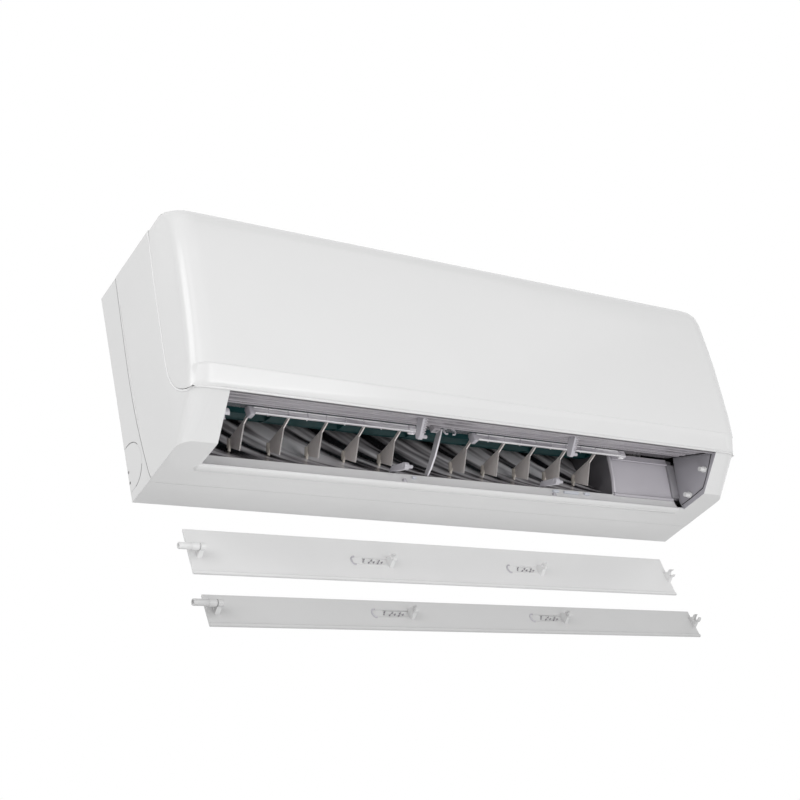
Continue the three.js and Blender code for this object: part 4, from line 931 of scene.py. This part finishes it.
# Painted shade: a dark line along the right cheek's edge.
cheek_outline = [
    (165, -88), (164.5, -93), (159.5, -98.7), (154.7, -104.1), (148.5, -111), (142.1, -117.4),
    (135.5, -123.6), (131.3, -127.1), (118.6, -128.2), (103.6, -129.1), (87.5, -129.4),
]
cheek_line = [(cheek_right - outline_radius / 2, f, z) for f, z in cheek_outline]
cheek_shade = wire("right_cheek_shade_line", cheek_line, outline_radius)
fit(cheek_shade, "unit", dark_plastic, edge=0)

# --------------------------------------------------------------------------------------------------
# Air filters: a light dark frame with ribs and a fine net, one on each side of the middle guide.
# Each slides up and out through its slot in the top.


def net(at):
    x, z = (at.node("ShaderNodeSeparateXYZ", {}, {0: at}, axis) for axis in (0, 2))
    thread = 0.6 * mm
    weave = at.calc("MINIMUM", to_and_fro(x, thread), to_and_fro(z, thread))
    return {
        "Base Color": blend(weave, linear(66, 68, 72), linear(20, 21, 24)),
        "Roughness": 0.55 + weave * 0.2,
        "Normal": relief(weave, strength=0.8, distance=0.4),
    }


filter_net = finish("filter_net", net)
for side in ("left", "right"):
    dress("air_filter_" + side, filter_net)

# --------------------------------------------------------------------------------------------------
# Louver drive: two small stepping motors behind the right end of the outlet, with white stubs that
# the louvers clip on to.

for which in ("upper", "lower"):
    skin(which + "_louver_motor", which + "_louver_motor_can", zinc_steel)
    skin(which + "_drive_stub", which + "_drive_stub_pin", frame_plastic)

# --------------------------------------------------------------------------------------------------
# Control box: a dark plastic tray with its board, relay, capacitor and terminals, under a white
# cover. It sits at the right end of the unit.


def board_resin(at):
    bricks = {"Vector": stretched(at, 260.0, 260.0, 260.0), "Scale": 1.0, "Mortar Size": 0.08}
    tracks = at.node("ShaderNodeTexBrick", {"offset": 0.5}, bricks, "Fac")
    cloud = noise(at, scale=60.0)
    shade = tracks * 0.7 + cloud * 0.3
    return {
        "Base Color": blend(shade, linear(24, 84, 48), linear(66, 132, 82)),
        "Roughness": 0.35 + cloud * 0.2,
        "Normal": relief(tracks, strength=0.3, distance=0.1),
    }


board = finish("board_green_resin", board_resin)
dress("control_box", dark_plastic)
skin("control_board", "control_board_loaded", board)
dress("terminal_block", blank_plastic)
dress("control_box_cover", frame_plastic)

# --------------------------------------------------------------------------------------------------
# Top grille: bars along the top, through which the fan draws the air in. It is the same white
# plastic as the frame.

dress("top_grille", frame_plastic)

# --------------------------------------------------------------------------------------------------
# Display module and manual button: they sit on the frame's lower bar, behind the panel. The button
# is the same white plastic as the upper louver.

louver_plastic = finish("louver_plastic", plastic(grey(226), grey(232), roughness=0.26))
dress("display_module", dark_plastic)
skin("manual_button", "manual_button_cap", louver_plastic)

# --------------------------------------------------------------------------------------------------
# Front panel: a glossy white tray that covers the whole front, wraps round both ends and swings up
# on two pins near its top edge. It has no seam but a shallow crease near the lower edge.

panel_skin = plastic(grey(229), grey(232), roughness=0.19, grain=1500.0, skin_depth=0.006, edge=0.8)
panel_gloss = finish("panel_gloss", panel_skin)
skin("front_panel", "front_panel_shell", panel_gloss, angle=34)

# --------------------------------------------------------------------------------------------------
# Louvers: two thin white blades with pockets for the arms, a pin with a sleeve at the left end and
# an open clip for the drive stub at the right. They hang below the unit, tipped by an angle.

# Painted shade: the lower louver is the same white plastic as the upper one, painted a darker grey.
lower_louver_painted_shade = finish("lower_louver_shaded_plastic", plastic(grey(199), grey(206), roughness=0.26))
blades = {
    "upper": {"hang": (34.1, -208.9), "angle": 82.3, "finish": louver_plastic, "pin_end": -387.2},
    "lower": {"hang": (49.9, -283.9), "angle": 80.2, "finish": lower_louver_painted_shade, "pin_end": -390.2},
}
pin_root, pin_radius, pin_wall, pin_bore_depth = -371, 3.9, 1.7, 3
pocket_past_arm, pocket_length, pocket_floor = 4, 47, -10.5
half_curl, curl_rise, curl_radius = (4.6, 5.6), 0.5, 1.0
rim_places, rim_rise, rim_end, rim_radius = (("front", 4.8), ("rear", -4.8)), 0.1, 4, 0.5
peg_heights, peg_radius = (-0.8, 1.6), 0.9
# Distance of each peg from the pocket's end, and its place across.
peg_places = (
    (-36.6, 1.6), (-34.4, -1.8), (-28.4, 2.0), (-23.6, -1.2), (-21, 1.2), (-15.6, 2.4),
    (-12.8, -1.0), (-9.4, 1.0),
)
for which, blade in blades.items():
    skin(which + "_louver", which + "_louver_blade", blade["finish"])
    skin(which + "_louver_bush", which + "_louver_sleeve", blade["finish"])
    tip = Matrix.Rotation(math.radians(blade["angle"]), 4, "X")
    hang = Matrix.Translation(spot(0, *blade["hang"])) @ tip
    pin_end = blade["pin_end"]
    pin = rod(which + "_pin_tip", (pin_end, 0, 0), (pin_root, 0, 0), pin_radius, sides=24)
    pick(pin, lambda at: at.x < pin_end + 0.1)
    inset(pin_wall)
    pull_out(x=pin_bore_depth)
    bpy.ops.object.mode_set(mode="OBJECT")
    pieces = [(pin, blade["finish"], 0.4)]
    for side, arm_place in arm_places.items():
        name = f"{which}_{side}"
        end = arm_place + pocket_past_arm
        curl_x = end - pocket_length - 1
        # The curl and the pegs are real small shapes; their darker colours are painted shade in the
        # pocket.
        curl = [
            (curl_x + half_curl[0] * c, half_curl[1] * s, pocket_floor + curl_rise)
            for c, s in turns(start=80, step=20, count=10)
        ]
        pieces.append((wire(name + "_pocket_curl", curl, curl_radius), arm_plastic, 0))
        rim_x = (end - pocket_length, end - rim_end)
        for edge, across in rim_places:
            rim = [(x, across, pocket_floor + rim_rise) for x in rim_x]
            pieces.append((wire(f"{name}_pocket_{edge}", rim, rim_radius), blade["finish"], 0))
        for number, (x, across) in enumerate(peg_places, 1):
            foot, top = ((end + x, across, pocket_floor + z) for z in peg_heights)
            peg = rod(f"{name}_peg_{number}", foot, top, peg_radius, sides=10)
            pieces.append((peg, cap_plastic, 0.2))
    for piece, material, edge in pieces:
        piece.data.transform(hang)
        fit(piece, which + "_louver", material, edge=edge)

# --------------------------------------------------------------------------------------------------
# Pipes and screws: two copper refrigerant pipes with brass flare nuts, and three steel screws
# through the frame's lower bar.


def copper(at):
    stain = noise(stretched(at, 30.0, 90.0, 90.0), scale=1.0, detail=4.0)
    return {
        "Base Color": blend(stain, linear(160, 92, 58), linear(216, 148, 106)),
        "Roughness": 0.2 + stain * 0.25,
    }


def brass(at):
    turned = noise(stretched(at, 700.0, 40.0, 40.0), scale=1.0, detail=3.0)
    return {
        "Base Color": blend(turned, linear(170, 142, 74), linear(214, 188, 116)),
        "Roughness": 0.22 + turned * 0.16,
        "Normal": relief(turned, strength=0.2, distance=0.1),
    }


pipe_copper = finish("pipe_copper_metal", copper, Metallic=1.0)
nut_brass = finish("nut_brass_metal", brass, Metallic=1.0)
for kind in ("gas", "liquid"):
    skin(kind + "_pipe", kind + "_pipe_tube", pipe_copper)
    dress(kind + "_flare_nut", nut_brass)
for number in range(1, 4):
    skin(f"frame_screw_{number}", f"frame_screw_{number}_turned", zinc_steel)

# --------------------------------------------------------------------------------------------------
# End: nothing is left selected.

bpy.ops.object.select_all(action="DESELECT")
